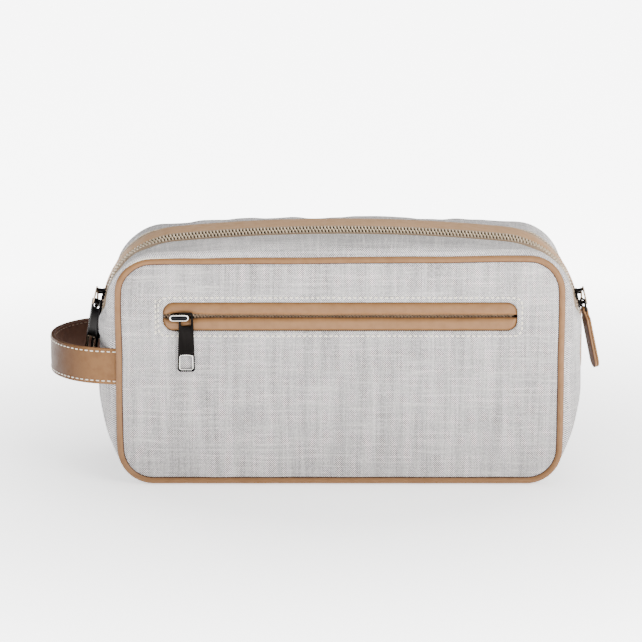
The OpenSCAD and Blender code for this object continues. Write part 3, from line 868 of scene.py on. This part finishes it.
def build_top_gusset(side):
    name = "front_top" if side == FRONT else "back_top"
    count, columns = 190, len(TOP_ROWS)
    grid = top_sheet(side, 0.0, TOP_ROWS, count, ZIP_END_Z - 4)
    uv = grid_uv(grid)[:, ::-1] + (70 if side == FRONT else 310, 0)
    obj = grid_object(name + "_cloth", grid, gusset_fabric, flip=side == FRONT, uv=uv)
    held = [j for j, (y, _) in enumerate(TOP_ROWS)
            if y < 24.0 or y > 44.5 or abs(y - TOP_STITCH_Y) < 0.3]
    pinned = [i * columns + j for i in range(count) for j in range(columns)
              if j in held or i < 4 or i >= count - 4]
    settle(obj, pinned, 1.6, 0.03, 1.3)
    thicken(obj, 0.9)
    refine(obj)
    keep(obj, "bag", "outer_fabric", name + "_gusset")
    for layer, depth, thick, material in (("foam", 1.9, 1.4, foam), ("lining", 3.5, 0.5, lining)):
        sheet = grid_object(f"{name}_{layer}_sheet",
                            top_sheet(side, depth, INNER_ROWS, 90, ZIP_END_Z - 1),
                            material, flip=side == FRONT)
        thicken(sheet, thick)
        keep(sheet, "bag", layer, f"{name}_{layer}")


def build_base_gusset():
    """The fabric over the lower sides and the bottom, with its upper ends folded under."""
    count, columns = 200, len(BASE_ROWS)
    runs = []
    for y, m in BASE_ROWS:
        top = station_at_height(ZIP_END_Z - 0.4, y)
        runs.append(outline_run(-top, top, count, y, m))
    grid = np.stack(runs, 1)
    for k, fold in enumerate(BASE_FOLD):
        grid[k, :, 0] += fold
        grid[count - 1 - k, :, 0] -= fold
    uv = grid_uv(grid)[:, ::-1] + (530, 0)
    follow = [smooth(abs(y), 30, 45) for y, _ in BASE_ROWS] * count
    grid = wander(grid.reshape(-1, 3), follow).reshape(grid.shape)
    obj = grid_object("base_gusset_cloth", grid, gusset_fabric, flip=True, uv=uv)
    pinned = [i * columns + j for i in range(count) for j in range(columns)
              if grid[i, j, 2] < 1.2 or abs(BASE_ROWS[j][0]) > 44.5 or i < 8 or i >= count - 8]
    settle(obj, pinned, 1.6, 0.014, 2.4)
    thicken(obj, 0.9)
    refine(obj)
    points = vertices(obj.data)
    points[:, 2] = np.maximum(points[:, 2], 0)
    set_vertices(obj.data, points)
    keep(obj, "bag", "outer_fabric", "base_gusset")


# ---------------------------------------------------------------- piping, strip and handle

def sweep(name, path, normals, profile, material, closed=False):
    """A closed profile of (sideways, outwards) points carried along a path."""
    path, normals = np.asarray(path, float), np.asarray(normals, float)
    count = len(path)
    if closed:
        tangents = unit(np.roll(path, -1, 0) - np.roll(path, 1, 0))
    else:
        tangents = unit(np.gradient(path, axis=0))
    side = unit(np.cross(tangents, normals))
    out = np.cross(side, tangents)
    sections = []
    for i in range(count):
        shape = np.asarray(profile(i) if callable(profile) else profile, float)
        sections.append(path[i] + shape[:, :1] * side[i] + shape[:, 1:] * out[i])
    grid = np.stack(sections)
    columns = grid.shape[1]
    faces = grid_faces(count, columns, True, True) if closed else tube_faces(count, columns)
    u = run_lengths(path)
    v = run_lengths(np.vstack([grid[count // 2], grid[count // 2][:1]]))[:-1]
    uv = np.stack(np.meshgrid(u, v, indexing="ij"), -1).reshape(-1, 2)
    return make_object(name, grid.reshape(-1, 3), faces, material, uv)


def circle(radius, sides, centre=0.0):
    return [(centre + radius * math.cos(2 * math.pi * k / sides),
             radius * math.sin(2 * math.pi * k / sides)) for k in range(sides)]


def slab_profile(half_w, low, high, crown=0.0, edge=0.3):
    """A flat strap's section: rounded edges and a slightly crowned top."""
    ramp = [-half_w + edge + (2 * half_w - 2 * edge) * k / 8 for k in range(9)]
    points = [(x, high + crown * (1 - (x / half_w) ** 2)) for x in ramp]
    points += [(half_w - edge * 0.3, high - edge * 0.3), (half_w, high - edge),
               (half_w, low + edge), (half_w - edge * 0.3, low + edge * 0.3)]
    points += [(-x, low) for x in ramp]
    points += [(-half_w + edge * 0.3, low + edge * 0.3), (-half_w, low + edge),
               (-half_w, high - edge), (-half_w + edge * 0.3, high - edge * 0.3)]
    return points


def panel_loop(side, inset, spacing, y):
    """A closed line round a panel at an inset from its edge, with its outward directions."""
    loop = rounded_rect(HALF_W - inset, PANEL_H / 2 - inset, CORNER_R - inset, spacing)
    path = wander(np.stack([loop[:, 0], np.full(len(loop), side * y),
                            loop[:, 1] + PANEL_H / 2], -1))
    return path, np.tile([0.0, side, 0.0], (len(path), 1))


def build_piping(side):
    """A leather-covered cord round the panel, puckered a little at the corners, and a dark tube in
    the
    crease beside it: the turned edge of its leather, and painted shade in the crease."""
    node = "front_piping" if side == FRONT else "back_piping"
    path, normals = panel_loop(side, PIPING_R, 0.9, PIPING_Y)
    path[:, 1] += [0.12 * wobble(x, y, z, 40, 1) for x, y, z in path]

    def profile(i):
        x, _, z = path[i]
        bent = abs(x) > HALF_W - CORNER_R and abs(z - PANEL_H / 2) > PANEL_H / 2 - CORNER_R
        radius = PIPING_R - 0.02 + 0.06 * wobble(x, side, z, 14, 2)
        radius += (0.05 if bent else 0.015) * math.sin(i * 2.1 + 2 * wobble(x, 0, z, 9, 5))
        return circle(radius, 18)

    obj = sweep(node + "_leather", path, normals, profile, leather, closed=True)
    keep(obj, "bag", "leather", node)
    # the dark tube in the crease: the leather's turned edge, and painted shade in the crease
    path, normals = panel_loop(side, 3.75, 1.5, 47.15)
    crease = sweep(node + "_turned_edge_and_shade", path, normals, circle(0.52, 8), edge_leather,
                   closed=True)
    keep(crease, "bag", "leather")


def build_strip():
    """The leather between the zips, with dark painted edges."""
    path, normals = top_line(0.0, 0.0, 220, ZIP_END_Z - 5)
    shape = slab_profile(12.5, -1.05, 0.0, 0.5)

    def profile(i):
        x, _, z = path[i]
        sway = 0.25 * wobble(x, 0, z, 45, 6)
        return [(a + sway, b + 0.07 * wobble(x, a, z, 14, 7)) for a, b in shape]

    obj = sweep("centre_strip_leather", path, normals, profile, strip_leather)
    second_material(obj, edge_leather, lambda normal: abs(normal.y) > 0.62)
    keep(obj, "bag", "leather", "centre_strip")


def build_inside():
    """The strip's backing and the divider, in the bag's soft shape."""
    path, normals = top_line(0.0, 1.25, 160, ZIP_END_Z - 4)
    backing = sweep("strip_backing_cloth", path, normals, slab_profile(11.6, -0.45, 0.0, 0, 0.1),
                    lining)
    keep(backing, "bag", "lining", "strip_backing")
    low, high = box_mm("divider")
    outline = outline_run(0.02, 9.98, 170, 0.0, 4.2)
    outline = np.clip(outline, low, high)
    count = len(outline)
    points = [(x, y, z) for y in (low[1], high[1]) for x, _, z in outline]
    faces = [tuple(range(count)), tuple(count + k for k in reversed(range(count)))]
    faces += [(k, count + k, count + (k + 1) % count, (k + 1) % count) for k in range(count)]
    divider = make_object("divider_cloth", points, faces, lining)
    fix_normals(divider)
    keep(divider, "bag", "lining", "divider")


def strap_line(offset):
    """A line along the handle's loop at an offset inside its outer face, front to back, with
    its outward directions."""
    a, b = LOOP_X - offset, SEAM_Y - 0.7 - offset
    tails = [(-HALF_W - 2 + 0.8 * k, b) for k in (1, 2, 3)]
    arc = [(-HALF_W - 2 - a * math.cos(p), b * math.sin(p))
           for p in np.radians(np.linspace(-90, 90, 150))]
    points = np.array([(x, -y) for x, y in tails[::-1]] + arc + tails)
    forward = [smooth(x, -HALF_W - 8, -HALF_W - 1) for x in points[:, 0]]
    points[:, 1] += 0.95 * np.sign(points[:, 1]) * forward
    path = np.column_stack([points, np.full(len(points), STRAP_Z)])
    normals = np.cross(np.gradient(path, axis=0), (0, 0, 1.0))
    normals *= np.sign(np.sum(normals * (path - (-HALF_W, 0, STRAP_Z)), 1))[:, None]
    return path, normals


def build_handle():
    """The outer strap, its dark lining strap, and a row of stitches along each edge."""
    for name, near, far, inset, crown, material, slot in (
            ("handle_strap", 0.0, 1.4, 0.0, 0.25, strap_leather, "leather"),
            ("handle_lining", 1.45, 2.6, 0.35, 0.0, dark_leather, "dark_leather")):
        path, normals = strap_line((near + far) / 2)
        thick = (far - near) / 2
        shape = slab_profile(STRAP_HALF - inset, -thick, thick, crown, 0.35)

        def profile(i):
            x, y, _ = path[i]
            return [(a, b + 0.06 * wobble(x, y, a, 12, 4)) for a, b in shape]

        obj = sweep(name + "_leather", path, normals, profile, material)
        keep(obj, "bag", slot, name)
    path, normals = strap_line(-0.02)
    inner = path - unit(normals) * 2.62
    outside, inside = [], []
    for height in (-STRAP_HALF + 2.0, STRAP_HALF - 2.0):
        outside += stitch_runs(path + (0, 0, height), normals, 2.4, 1.1)
        inside += stitch_runs(inner + (0, 0, height), -normals, 2.4, 1.1)
    stitches("handle_stitches", outside, 0.33, thread)
    stitches("handle_lining_stitches", inside, 0.3, dark_thread)


# ---------------------------------------------------------------- pocket lips

# distances inwards from the window's edge and from the lip's own edge, and the surface there
LIP_EDGE = ((-3, -0.5, 0, 0.3, 0.8, 1.6, 3.0, 5.0),
            (45.6, 45.8, 46.0, 46.5, 47.25, 47.75, 48.0, 48.1))
LIP_ROLL = ((0, 0.15, 0.5, 1.1, 2.0, 3.5), (45.7, 46.4, 47.1, 47.7, 48.05, 48.15))
LIP_ROWS = [0, 0.15, 0.4, 0.8, 1.4, 2.2, 3.1, 4.0, 4.9, 5.7, 6.3, 6.7, 7.0, 7.4, 8.0, 9.2]


def build_lip(side):
    """One soft roll of leather in the window; side is 1 for the upper lip, -1 for the lower. It
    makes way for the slider at rest."""
    count, rows = 320, len(LIP_ROWS) + 2
    points = []
    for x in np.linspace(-POCKET_HALF_W - 2.6, POCKET_HALF_W + 2.6, count):
        part = math.exp(-((x - POCKET_X - 1) / 8) ** 2)
        gap = 0.75 + 1.25 * part + 0.3 * wobble(x, 0, side * 5, 26, 1) \
            + 0.12 * wobble(x, 0, side * 5, 7, 4)
        for t in LIP_ROWS:
            z = gap + t
            inside = from_window(x, z)
            y = min(np.interp(inside, *LIP_EDGE), np.interp(t, *LIP_ROLL))
            soft = smooth(t, 0.3, 1.6) * smooth(inside, 0.5, 2.5)
            y += soft * (0.3 * wobble(x, z, side * 9, 19, 3) + 0.14 * wobble(x, z, side * 3, 6, 2))
            points.append((x, -y, POCKET_Z + side * z))
        points.append((x, -45.05, POCKET_Z + side * (gap + 9.2)))
        points.append((x, -44.95, POCKET_Z + side * (gap + 0.9)))
    node = "pocket_upper_lip" if side > 0 else "pocket_lower_lip"
    obj = make_object(node + "_leather", points, tube_faces(count, rows), lip_leather)
    fix_normals(obj)
    keep(obj, "bag", "leather", node)


# ---------------------------------------------------------------- zips

TOOTH_ROOT = 2.3
TOOTH_LENGTH = 2.6
TOOTH_SECTIONS = ((0.0, 0.9, 0.7), (0.12, 1.0, 1.0), (0.55, 1.0, 1.0), (0.8, 1.12, 1.0),
                  (0.93, 0.9, 0.85), (1.0, 0.45, 0.45))
TAPE_OFFSETS = [1.9, 2.6, 3.3, 4.0, 4.7, 5.4, 6.2, 7.2, 8.6]


def tooth_rings():
    """Cross sections of one tooth from its root in the tape to its rounded head."""
    rings = []
    for t, w, h in TOOTH_SECTIONS:
        ring = []
        for k in range(8):
            a = 2 * math.pi * (k + 0.5) / 8
            cu, cn = (math.copysign(abs(c) ** 0.6, c) for c in (math.cos(a), math.sin(a)))
            ring.append((cu * 1.22 * w / 2 + 0.5 * (t - 0.5), t * TOOTH_LENGTH,
                         cn * 1.75 * h / 2))
        rings.append(ring)
    return rings


def build_teeth(node, path, normals, material):
    """Two facing rows of teeth along a chain's middle line."""
    along = run_lengths(path)
    tangents = unit(np.gradient(path, axis=0))
    rings = tooth_rings()
    points, faces = [], []
    for side in (-1, 1):
        for i in range(int((along[-1] - 1) / TEETH_PITCH)):
            d = 0.5 + (i + (0.5 if side > 0 else 0)) * TEETH_PITCH
            centre, t, n = (sample(a, along, d) for a in (path, tangents, normals))
            v = np.cross(n, t)
            faces += tube_faces(len(rings), len(rings[0]), len(points))
            for ring in rings:
                for u, w, h in ring:
                    points.append(centre + side * u * t + side * (TOOTH_ROOT - w) * v + h * n)
    obj = make_object(node + "_rows", points, faces, material)
    fix_normals(obj)
    keep(obj, "bag", "zip_teeth", node)


def chain_line(side, count):
    """The chain's middle, with its depth below the full shape. It leans outwards on top."""
    path, normals = top_line(side * ZIP_Y, 0.0, count, ZIP_END_Z - 1)
    depth = np.full(count, CHAIN_M)
    for i, (_, _, z) in enumerate(path):
        depth[i] -= 1.1 * smooth(z, 116, 128) * (1 - smooth(z, 138, 146))
        lean = math.radians(30) * smooth(z, 138, 146) + math.radians(12) * smooth(z, 112, 124)
        if side == FRONT:
            depth[i] += 0.2 * smooth(z, 138, 146)
        else:
            depth[i] += 0.8 * smooth(z, 139, 146)
            lean *= 0.3
        normals[i] = normals[i] * math.cos(lean) + np.array((0, side, 0)) * math.sin(lean)
    return path - normals * depth[:, None], normals, depth


def tape_strip(name, line, side, toward_fabric):
    """Half a zip tape, from the teeth to its hidden edge under the fabric or the strip."""
    path, normals, depth = line
    sign = side if toward_fabric else -side

    def profile(i):
        target = sink(23, path[i][2], side) + 1.3 if toward_fabric else 1.45
        lean = math.asin(min(1, abs(normals[i][1])))
        lift = math.tan(lean) * (1 if toward_fabric else -1)
        fall = [((target - depth[i]) / math.cos(lean) - lift * v) * smooth(v, 2.2, 5.6)
                for v in TAPE_OFFSETS]
        top = [(sign * v, 0.3 - drop) for v, drop in zip(TAPE_OFFSETS, fall)]
        low = [(v, h - 0.5) for v, h in reversed(top)]
        return top + low if sign > 0 else low + top

    return sweep(name, path, normals, profile, tape)


def build_top_zip(side):
    name = "front" if side == FRONT else "back"
    path, normals, depth = chain_line(side, 400)
    build_teeth(name + "_zip_teeth", path, normals, teeth)
    line = (path[::2], normals[::2], depth[::2])
    for label, toward_fabric in (("inner", False), ("outer", True)):
        strip = tape_strip(f"{name}_zip_tape_{label}", line, side, toward_fabric)
        fix_normals(strip)
        keep(strip, "bag", "zip_tape", name + "_zip_tape")


def build_pocket_zip():
    low, high = box_mm("pocket_zip_teeth")
    path = np.array([(x, POCKET_CHAIN_Y, POCKET_Z) for x in np.linspace(low[0], high[0], 240)])
    normals = np.tile([0.0, -1.0, 0.0], (len(path), 1))
    build_teeth("pocket_zip_teeth", path, normals, pocket_teeth)


# ---------------------------------------------------------------- sliders and pulls

SLIDER_HALF_OUTLINE = [(5.5, 0.0), (5.35, 1.4), (4.7, 2.9), (3.6, 3.75), (2.2, 3.9), (0.4, 3.55),
                       (-1.4, 3.15), (-3.2, 2.95), (-4.6, 2.5), (-5.3, 1.4), (-5.5, 0.0)]
SLIDER_RAIL = [(4.6, 2.9), (3.4, 3.75), (1.6, 3.75), (-0.4, 3.3), (-0.6, 2.75), (1.6, 3.2),
               (3.2, 3.1), (4.2, 2.6)]


class Place:
    """A slider's frame: u runs along its zip, v across it and n out of it."""

    def __init__(self, origin, u, n):
        self.origin = np.array(origin, float)
        self.u = np.array(u, float)
        self.n = np.array(n, float)
        self.v = np.cross(self.n, self.u)

    def __call__(self, points):
        points = np.asarray(points, float)
        return self.origin + points[:, :1] * self.u + points[:, 1:2] * self.v \
            + points[:, 2:] * self.n


def shoulder_place(x_side, y_side):
    """The frame of a top slider at rest, on the chain at its own height."""
    z = PANEL_H + TOP_BULGE - SHOULDER_R \
        + (SHOULDER_R - CHAIN_M) * math.sin(SLIDER_ANGLE[y_side])
    s = station_at_height(z, ZIP_Y)
    x, z = half_point(s, ZIP_Y, CHAIN_M)
    out = np.array(half_point(s, ZIP_Y, CHAIN_M - 1)) - (x, z)
    return Place((x_side * x, y_side * ZIP_Y, z), (-x_side * out[1], 0, out[0]),
                 (x_side * out[0], 0, out[1]))


def hung(point, x_side, lean, twist):
    """A pull's frame at its hinge: lean is its slope outwards, twist turns its face forwards."""
    a, t = math.radians(lean), math.radians(twist)
    return Place(point, (-x_side * math.sin(a), 0, math.cos(a)),
                 (x_side * math.cos(a) * math.cos(t), -math.sin(t),
                  math.sin(a) * math.cos(t)))


def prism(name, outline, holes, low, high, place, material, edge, segments=3):
    """A plate with holes and rounded edges: outline and holes are loops of (u, v)."""
    points, loops = [], []
    for loop in [outline] + holes:
        loops.append(list(range(len(points), len(points) + len(loop))))
        points += [tuple(p) for p in loop]
    triangles = triangulate(points, loops[0])
    for hole in loops[1:]:
        inside = set(hole)
        triangles = [t for t in triangles if not inside.issuperset(t)]
    count = len(points)
    solid = [(u, v, high) for u, v in points] + [(u, v, low) for u, v in points]
    faces = list(triangles) + [tuple(count + i for i in reversed(t)) for t in triangles]
    for loop in loops:
        for k, a in enumerate(loop):
            b = loop[(k + 1) % len(loop)]
            faces.append((a, a + count, b + count, b))
    obj = make_object(name, place(solid), faces, material, smooth=False)
    fix_normals(obj)
    if edge:
        modify(obj, "BEVEL", width=edge * MM, segments=segments, limit_method="ANGLE",
               angle_limit=math.radians(35), harden_normals=True)
    return obj


def capsule(half_length, half_width, count=12, centre=0.0):
    points = []
    for sign, start in ((1, -90), (-1, 90)):
        for k in range(count + 1):
            a = math.radians(start + 180 * k / count)
            points.append((centre + sign * (half_length - half_width) + half_width * math.cos(a),
                           half_width * math.sin(a)))
    return points


def dome(name, outline, low, rise, place, material):
    """A smooth bump over an outline, closed below."""
    outline = np.asarray(outline)
    centre = outline.mean(0)
    points, count, rings = [], len(outline), 7
    for k in range(rings):
        a = math.pi / 2 * k / rings
        points += [(u, v, low + rise * math.sin(a))
                   for u, v in centre + (outline - centre) * math.cos(a)]
    points.append((centre[0], centre[1], low + rise))
    faces = grid_faces(rings, count, wrap_columns=True, flip=True)
    last = (rings - 1) * count
    faces += [(last + k, last + (k + 1) % count, last + count) for k in range(count)]
    faces.append(tuple(reversed(range(count))))
    obj = make_object(name, place(points), faces, material)
    fix_normals(obj)
    return obj


def join(name, objects):
    """Makes one object of several with the same material."""
    bpy.ops.object.select_all(action="DESELECT")
    for obj in objects:
        obj.select_set(True)
    bpy.context.view_layer.objects.active = objects[0]
    bpy.ops.object.join()
    objects[0].name = name
    return objects[0]


def slider_outline():
    """A slider plate: broad at the mouth, waisted, and narrower at the tail."""
    half = np.array(SLIDER_HALF_OUTLINE)
    fine = []
    for start, end in zip(half, half[1:]):
        fine += [tuple(start), tuple(start * 0.5 + end * 0.5)]
    fine.append(tuple(half[-1]))
    return fine + [(u, -v) for u, v in fine[-2:0:-1]]


def build_slider(body, cap_node, place, bridge, highlight_material):
    """A slider's two plates, rails, post and legs, and the cap on its bridge with a painted
    highlight rim.
    """
    name = body + "_body"
    outline = slider_outline()
    pieces = [prism(name + "_top", outline, [], 1.3, 2.1, place, gunmetal, 0.25),
              prism(name + "_under", outline, [], -2.5, -1.7, place, gunmetal, 0.25)]
    for side in (-1, 1):
        rail = [(u, side * v) for u, v in SLIDER_RAIL][::side]
        pieces.append(prism(f"{name}_rail{side}", rail, [], 0.75, 1.5, place, gunmetal, 0.12))
        pieces.append(prism(f"{name}_foot{side}", rail, [], -1.9, -1.0, place, gunmetal, 0.12))
    pieces.append(prism(name + "_post", capsule(1.7, 0.25, 6, 2.7), [], -1.9, 1.5, place,
                        gunmetal, 0))
    for u in (-4, 4):
        pieces.append(prism(f"{name}_leg{u}", circle(1.0, 20, u), [], 2.0, bridge + 0.1, place,
                            gunmetal, 0))
        pieces.append(prism(f"{name}_collar{u}", circle(1.45, 20, u), [], 2.0, 2.55, place,
                            gunmetal, 0.2))
    keep(join(name, pieces), body, "metal", body)
    rim = prism(name + "_cap_rim", capsule(5.7, 1.9), [capsule(4.95, 1.2)], bridge, bridge + 1.0,
                place, highlight_material, 0.28)
    under = prism(name + "_cap_base", capsule(5.3, 1.5), [], bridge + 0.1, bridge + 0.55, place,
                  gunmetal, 0)
    bump = dome(name + "_cap_dome", capsule(5.05, 1.3), bridge + 0.5, 0.62, place, dark_enamel)
    keep(rim, body, "metal", cap_node)
    keep(under, body, "metal")
    keep(bump, body, "metal")


def rounded_polygon(corners, radii):
    """A polygon's outline with each corner rounded to its own radius."""
    corners = np.asarray(corners, float)
    made = []
    for k, (corner, radius) in enumerate(zip(corners, radii)):
        before = unit(corners[k - 1] - corner)
        after = unit(corners[(k + 1) % len(corners)] - corner)
        angle = math.acos(max(-1, min(1, float(before @ after))))
        reach = radius / math.tan(angle / 2)
        centre = corner + unit(before + after) * radius / math.sin(angle / 2)
        start = corner + before * reach - centre
        end = corner + after * reach - centre
        a0, a1 = math.atan2(start[1], start[0]), math.atan2(end[1], end[0])
        turn = (a1 - a0 + math.pi) % (2 * math.pi) - math.pi
        for t in np.linspace(0, 1, 6):
            a = a0 + turn * t
            made.append(tuple(centre + radius * np.array((math.cos(a), math.sin(a)))))
    return made


def trapezium(top, half_top, tip, half_tip, radius):
    return rounded_polygon([(top, -half_top), (top, half_top), (tip, half_tip),
                            (tip, -half_tip)], [radius] * 4)


def build_metal_pull(body, place, top, highlight_material, thickness=1.5):
    """A flat pull with a window near its tip and an eye at its top, hanging along -u."""
    half_t = thickness / 2
    outline = rounded_polygon([(top, -4.1), (top, 4.1), (-32.5, 5.15), (-32.5, -5.15)],
                              [1.3, 1.3, 1.6, 1.6])
    eye = trapezium(top - 1.3, 2.85, -5.0, 2.95, 0.8)
    window = trapezium(-22.8, 3.55, -31.0, 3.75, 1.0)
    plate = prism(body + "_metal_plate", outline, [eye, window], -half_t, half_t, place,
                  gunmetal, 0.32, 4)
    keep(plate, body, "metal", body)
    # the window's rim is a lighter metal: painted highlight
    lip = 0.45
    outer = trapezium(-22.8 + lip, 3.55 + lip, -31.0 - lip, 3.75 + lip, 1.4)
    rim = prism(body + "_metal_window_rim", outer, [window], -half_t - 0.12, half_t + 0.12,
                place, highlight_material, 0.1, 2)
    keep(rim, body, "metal")


LINK_WIRE = 0.62
TAB_BAR, TAB_TIP = -6.0, -42.0
TAB_HALF_W = 4.75


def tab_half_width(u):
    """Half the width of a leather tab: narrow at its eye and round at its tip."""
    tip = TAB_TIP + TAB_HALF_W
    if u < tip:
        return math.sqrt(max(0.35, TAB_HALF_W ** 2 - (tip - u) ** 2))
    return float(np.interp(u, [tip, TAB_BAR - 5.5, TAB_BAR - 3.6, TAB_BAR - 2.4, TAB_BAR + 2],
                           [TAB_HALF_W, TAB_HALF_W, 3.4, 2.25, 2.2]))


def tab_sections():
    """Sections of one strip of leather that goes up, round the link's bar and down again."""
    leg, layer = np.linspace(TAB_TIP, TAB_BAR - 3.2, 44), 0.72
    path = [(u, -layer) for u in leg]
    for k in range(13):
        a = math.radians(-78 + 156 * k / 12)
        path.append((TAB_BAR + 1.25 * math.cos(a) * 1.05, 1.12 * math.sin(a)))
    path = np.array(path + [(u, layer) for u in leg[::-1]])
    half_t, edge = 0.58, 0.22
    sections = []
    for (u, n), (tu, tn) in zip(path, unit(np.gradient(path, axis=0))):
        w = tab_half_width(u)
        sections.append([(u + tn * h, v, n - tu * h) for v, h in (
            (-w, -half_t + edge), (-w + edge, -half_t), (-w * 0.4, -half_t), (w * 0.4, -half_t),
            (w - edge, -half_t), (w, -half_t + edge), (w, half_t - edge), (w - edge, half_t),
            (w * 0.4, half_t + 0.04), (-w * 0.4, half_t + 0.04), (-w + edge, half_t),
            (-w, half_t - edge))])
    return np.array(sections)


def build_leather_pull(side_name, place):
    """A wire link under the slider's bridge and a stitched leather tab on it."""
    name, body = side_name + "_right", side_name + "_right_pull"
    loop = rounded_rect(3.0 + LINK_WIRE, 4.1 - LINK_WIRE, 1.3, 0.35) + (-3.0, 0)
    path = place(np.column_stack([loop, np.zeros(len(loop))]))
    link = sweep(name + "_link_wire", path, np.tile(place.n, (len(path), 1)),
                 circle(LINK_WIRE, 14), gunmetal, closed=True)
    keep(link, body, "metal", name + "_link")
    sections = tab_sections()
    obj = make_object(name + "_tab_leather", place(sections.reshape(-1, 3)),
                      tube_faces(*sections.shape[:2]), leather)
    fix_normals(obj)
    # painted shade: the tab's faces that turn towards the bag get the dark leather
    second_material(obj, dark_leather, lambda normal: np.dot(normal, place.n) < -0.8)
    keep(obj, body, "leather", name + "_tab")
    runs = []
    for v in (-3.35, 3.35):
        line = [(u, v, 1.34) for u in np.linspace(TAB_BAR - 7, TAB_TIP + 5, 30)]
        runs += stitch_runs(place(line), np.tile(place.n, (len(line), 1)), 2.2, 0.9)
    stitches(name + "_tab_stitches", runs, 0.26, thread, body)


# ---------------------------------------------------------------- rows of stitches

def build_zip_stitches(side, name):
    """The row beside a top zip, on the fabric's own sunken height."""
    path, normals = top_line(side * TOP_STITCH_Y, 0.0, 400, ZIP_END_Z + 3)
    drop = np.array([sink(TOP_STITCH_Y, z, side) + 0.26 for _, _, z in path])
    runs = stitch_runs(path - normals * drop[:, None], normals, 2.3, 1.1)
    stitches(name + "_zip_stitches", runs, 0.55, thread)


def build_pocket_stitches():
    """The row round the pocket and the short second row at its left end."""
    ring = rounded_rect(POCKET_HALF_W + STITCH_OUT, POCKET_HALF_H + STITCH_OUT, 4.5, 0.8)
    x = -POCKET_HALF_W - STITCH_OUT - 1.6
    column = [(x, z) for z in np.linspace(-11, 11, 30)]
    runs = []
    for line in (np.vstack([ring, ring[:1]]), column):
        path = [(x, -panel_depth(x, z + POCKET_Z, True) - 0.02, z + POCKET_Z) for x, z in line]
        runs += stitch_runs(path, np.tile([0.0, -1.0, 0.0], (len(path), 1)), 2.2, 0.9)
    stitches("pocket_stitches", runs, 0.55, thread)


def build_bartacks():
    """Four stitches across each end of the top zips, below the sliders."""
    runs = []
    for x_side in (LEFT, RIGHT):
        for y_side in (FRONT, BACK):
            for k in range(4):
                z = (97.0 if y_side == FRONT else ZIP_END_Z + 0.4) + 1.1 * k
                x = x_side * half_point(station_at_height(z, ZIP_Y), ZIP_Y, 0.3)[0]
                runs.append((np.array([x, y_side * (ZIP_Y - 2.6), z]),
                             np.array([x, y_side * (ZIP_Y + 2.6), z + 0.9]),
                             np.array([x_side, 0.0, 0.0])))
    stitches("bartack_stitches", runs, 0.45, thread)


def build_end_stitches(x_side, name):
    """The row along the top edge of the base gusset."""
    path = []
    for y in np.linspace(-43.5, 43.5, 120):
        s = station_at_height(ZIP_END_Z - 3.0, y)
        path.append(surface_point(s if x_side > 0 else 10 - s, y, -0.32))
    normals = np.tile([float(x_side), 0.0, 0.0], (len(path), 1))
    stitches(name + "_end_stitches", stitch_runs(path, normals, 2.3, 1.0), 0.36, thread)


# ---------------------------------------------------------------- put it together

build_panel(FRONT)
build_panel(BACK)
for side in (-1, 1):
    build_top_gusset(side)
    build_piping(side)
    build_top_zip(side)
    build_lip(side)
build_base_gusset()
build_strip()
build_inside()
build_handle()
build_pocket_zip()
for side, name in ((FRONT, "front"), (BACK, "back")):
    build_zip_stitches(side, name)
build_pocket_stitches()
build_bartacks()
for x_side, end in ((LEFT, "left"), (RIGHT, "right")):
    build_end_stitches(x_side, end)

for side, name in ((FRONT, "front"), (BACK, "back")):
    for x_side, end in ((LEFT, "left"), (RIGHT, "right")):
        place = shoulder_place(x_side, side)
        build_slider(f"{name}_{end}_slider", f"{name}_{end}_cap", place, TOP_BRIDGE, warm_highlight)
        hinge = place([TOP_HINGE])[0]
        if end == "left":
            pull = hung(hinge, x_side, METAL_PULL_LEAN[side], side * -METAL_PULL_TURN)
            build_metal_pull(f"{name}_left_pull", pull, 0.65, warm_highlight)
        else:
            pull = hung(hinge, x_side, LEATHER_PULL_LEAN[side], side * LEATHER_PULL_TURN)
            build_leather_pull(name, pull)

pocket_place = Place((POCKET_X, POCKET_CHAIN_Y, POCKET_Z), (1, 0, 0), (0, -1, 0))
pocket_bridge = POCKET_CHAIN_Y - box_mm("pocket_slider_cap")[1][1]
build_slider("pocket_slider", "pocket_slider_cap", pocket_place, pocket_bridge, white_highlight)
pull_place = Place((POCKET_X + 4.0, middle_mm("pocket_pull")[1], POCKET_Z), (0, 0, 1), (0, -1, 0))
build_metal_pull("pocket_pull", pull_place, 2.9, white_highlight, 1.6)

# the CAD nodes that stay, by the last word of their names
INSIDE = {
    "foam": foam, "lining": lining, "binding": lining, "cord": cord, "divider": lining,
    "backing": lining, "bag": lining, "tape": tape,
}
for name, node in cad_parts.items():
    material = INSIDE.get(name.split("_")[-1])
    if material and not node.hide_render:
        node.data.materials.clear()
        node.data.materials.append(material)

floor = make_object("floor", [(-3000, -3000, 0), (3000, -3000, 0), (3000, 3000, 0),
                              (-3000, 3000, 0)], [(0, 1, 2, 3)], floor_material())
floor.location.z = -0.0005
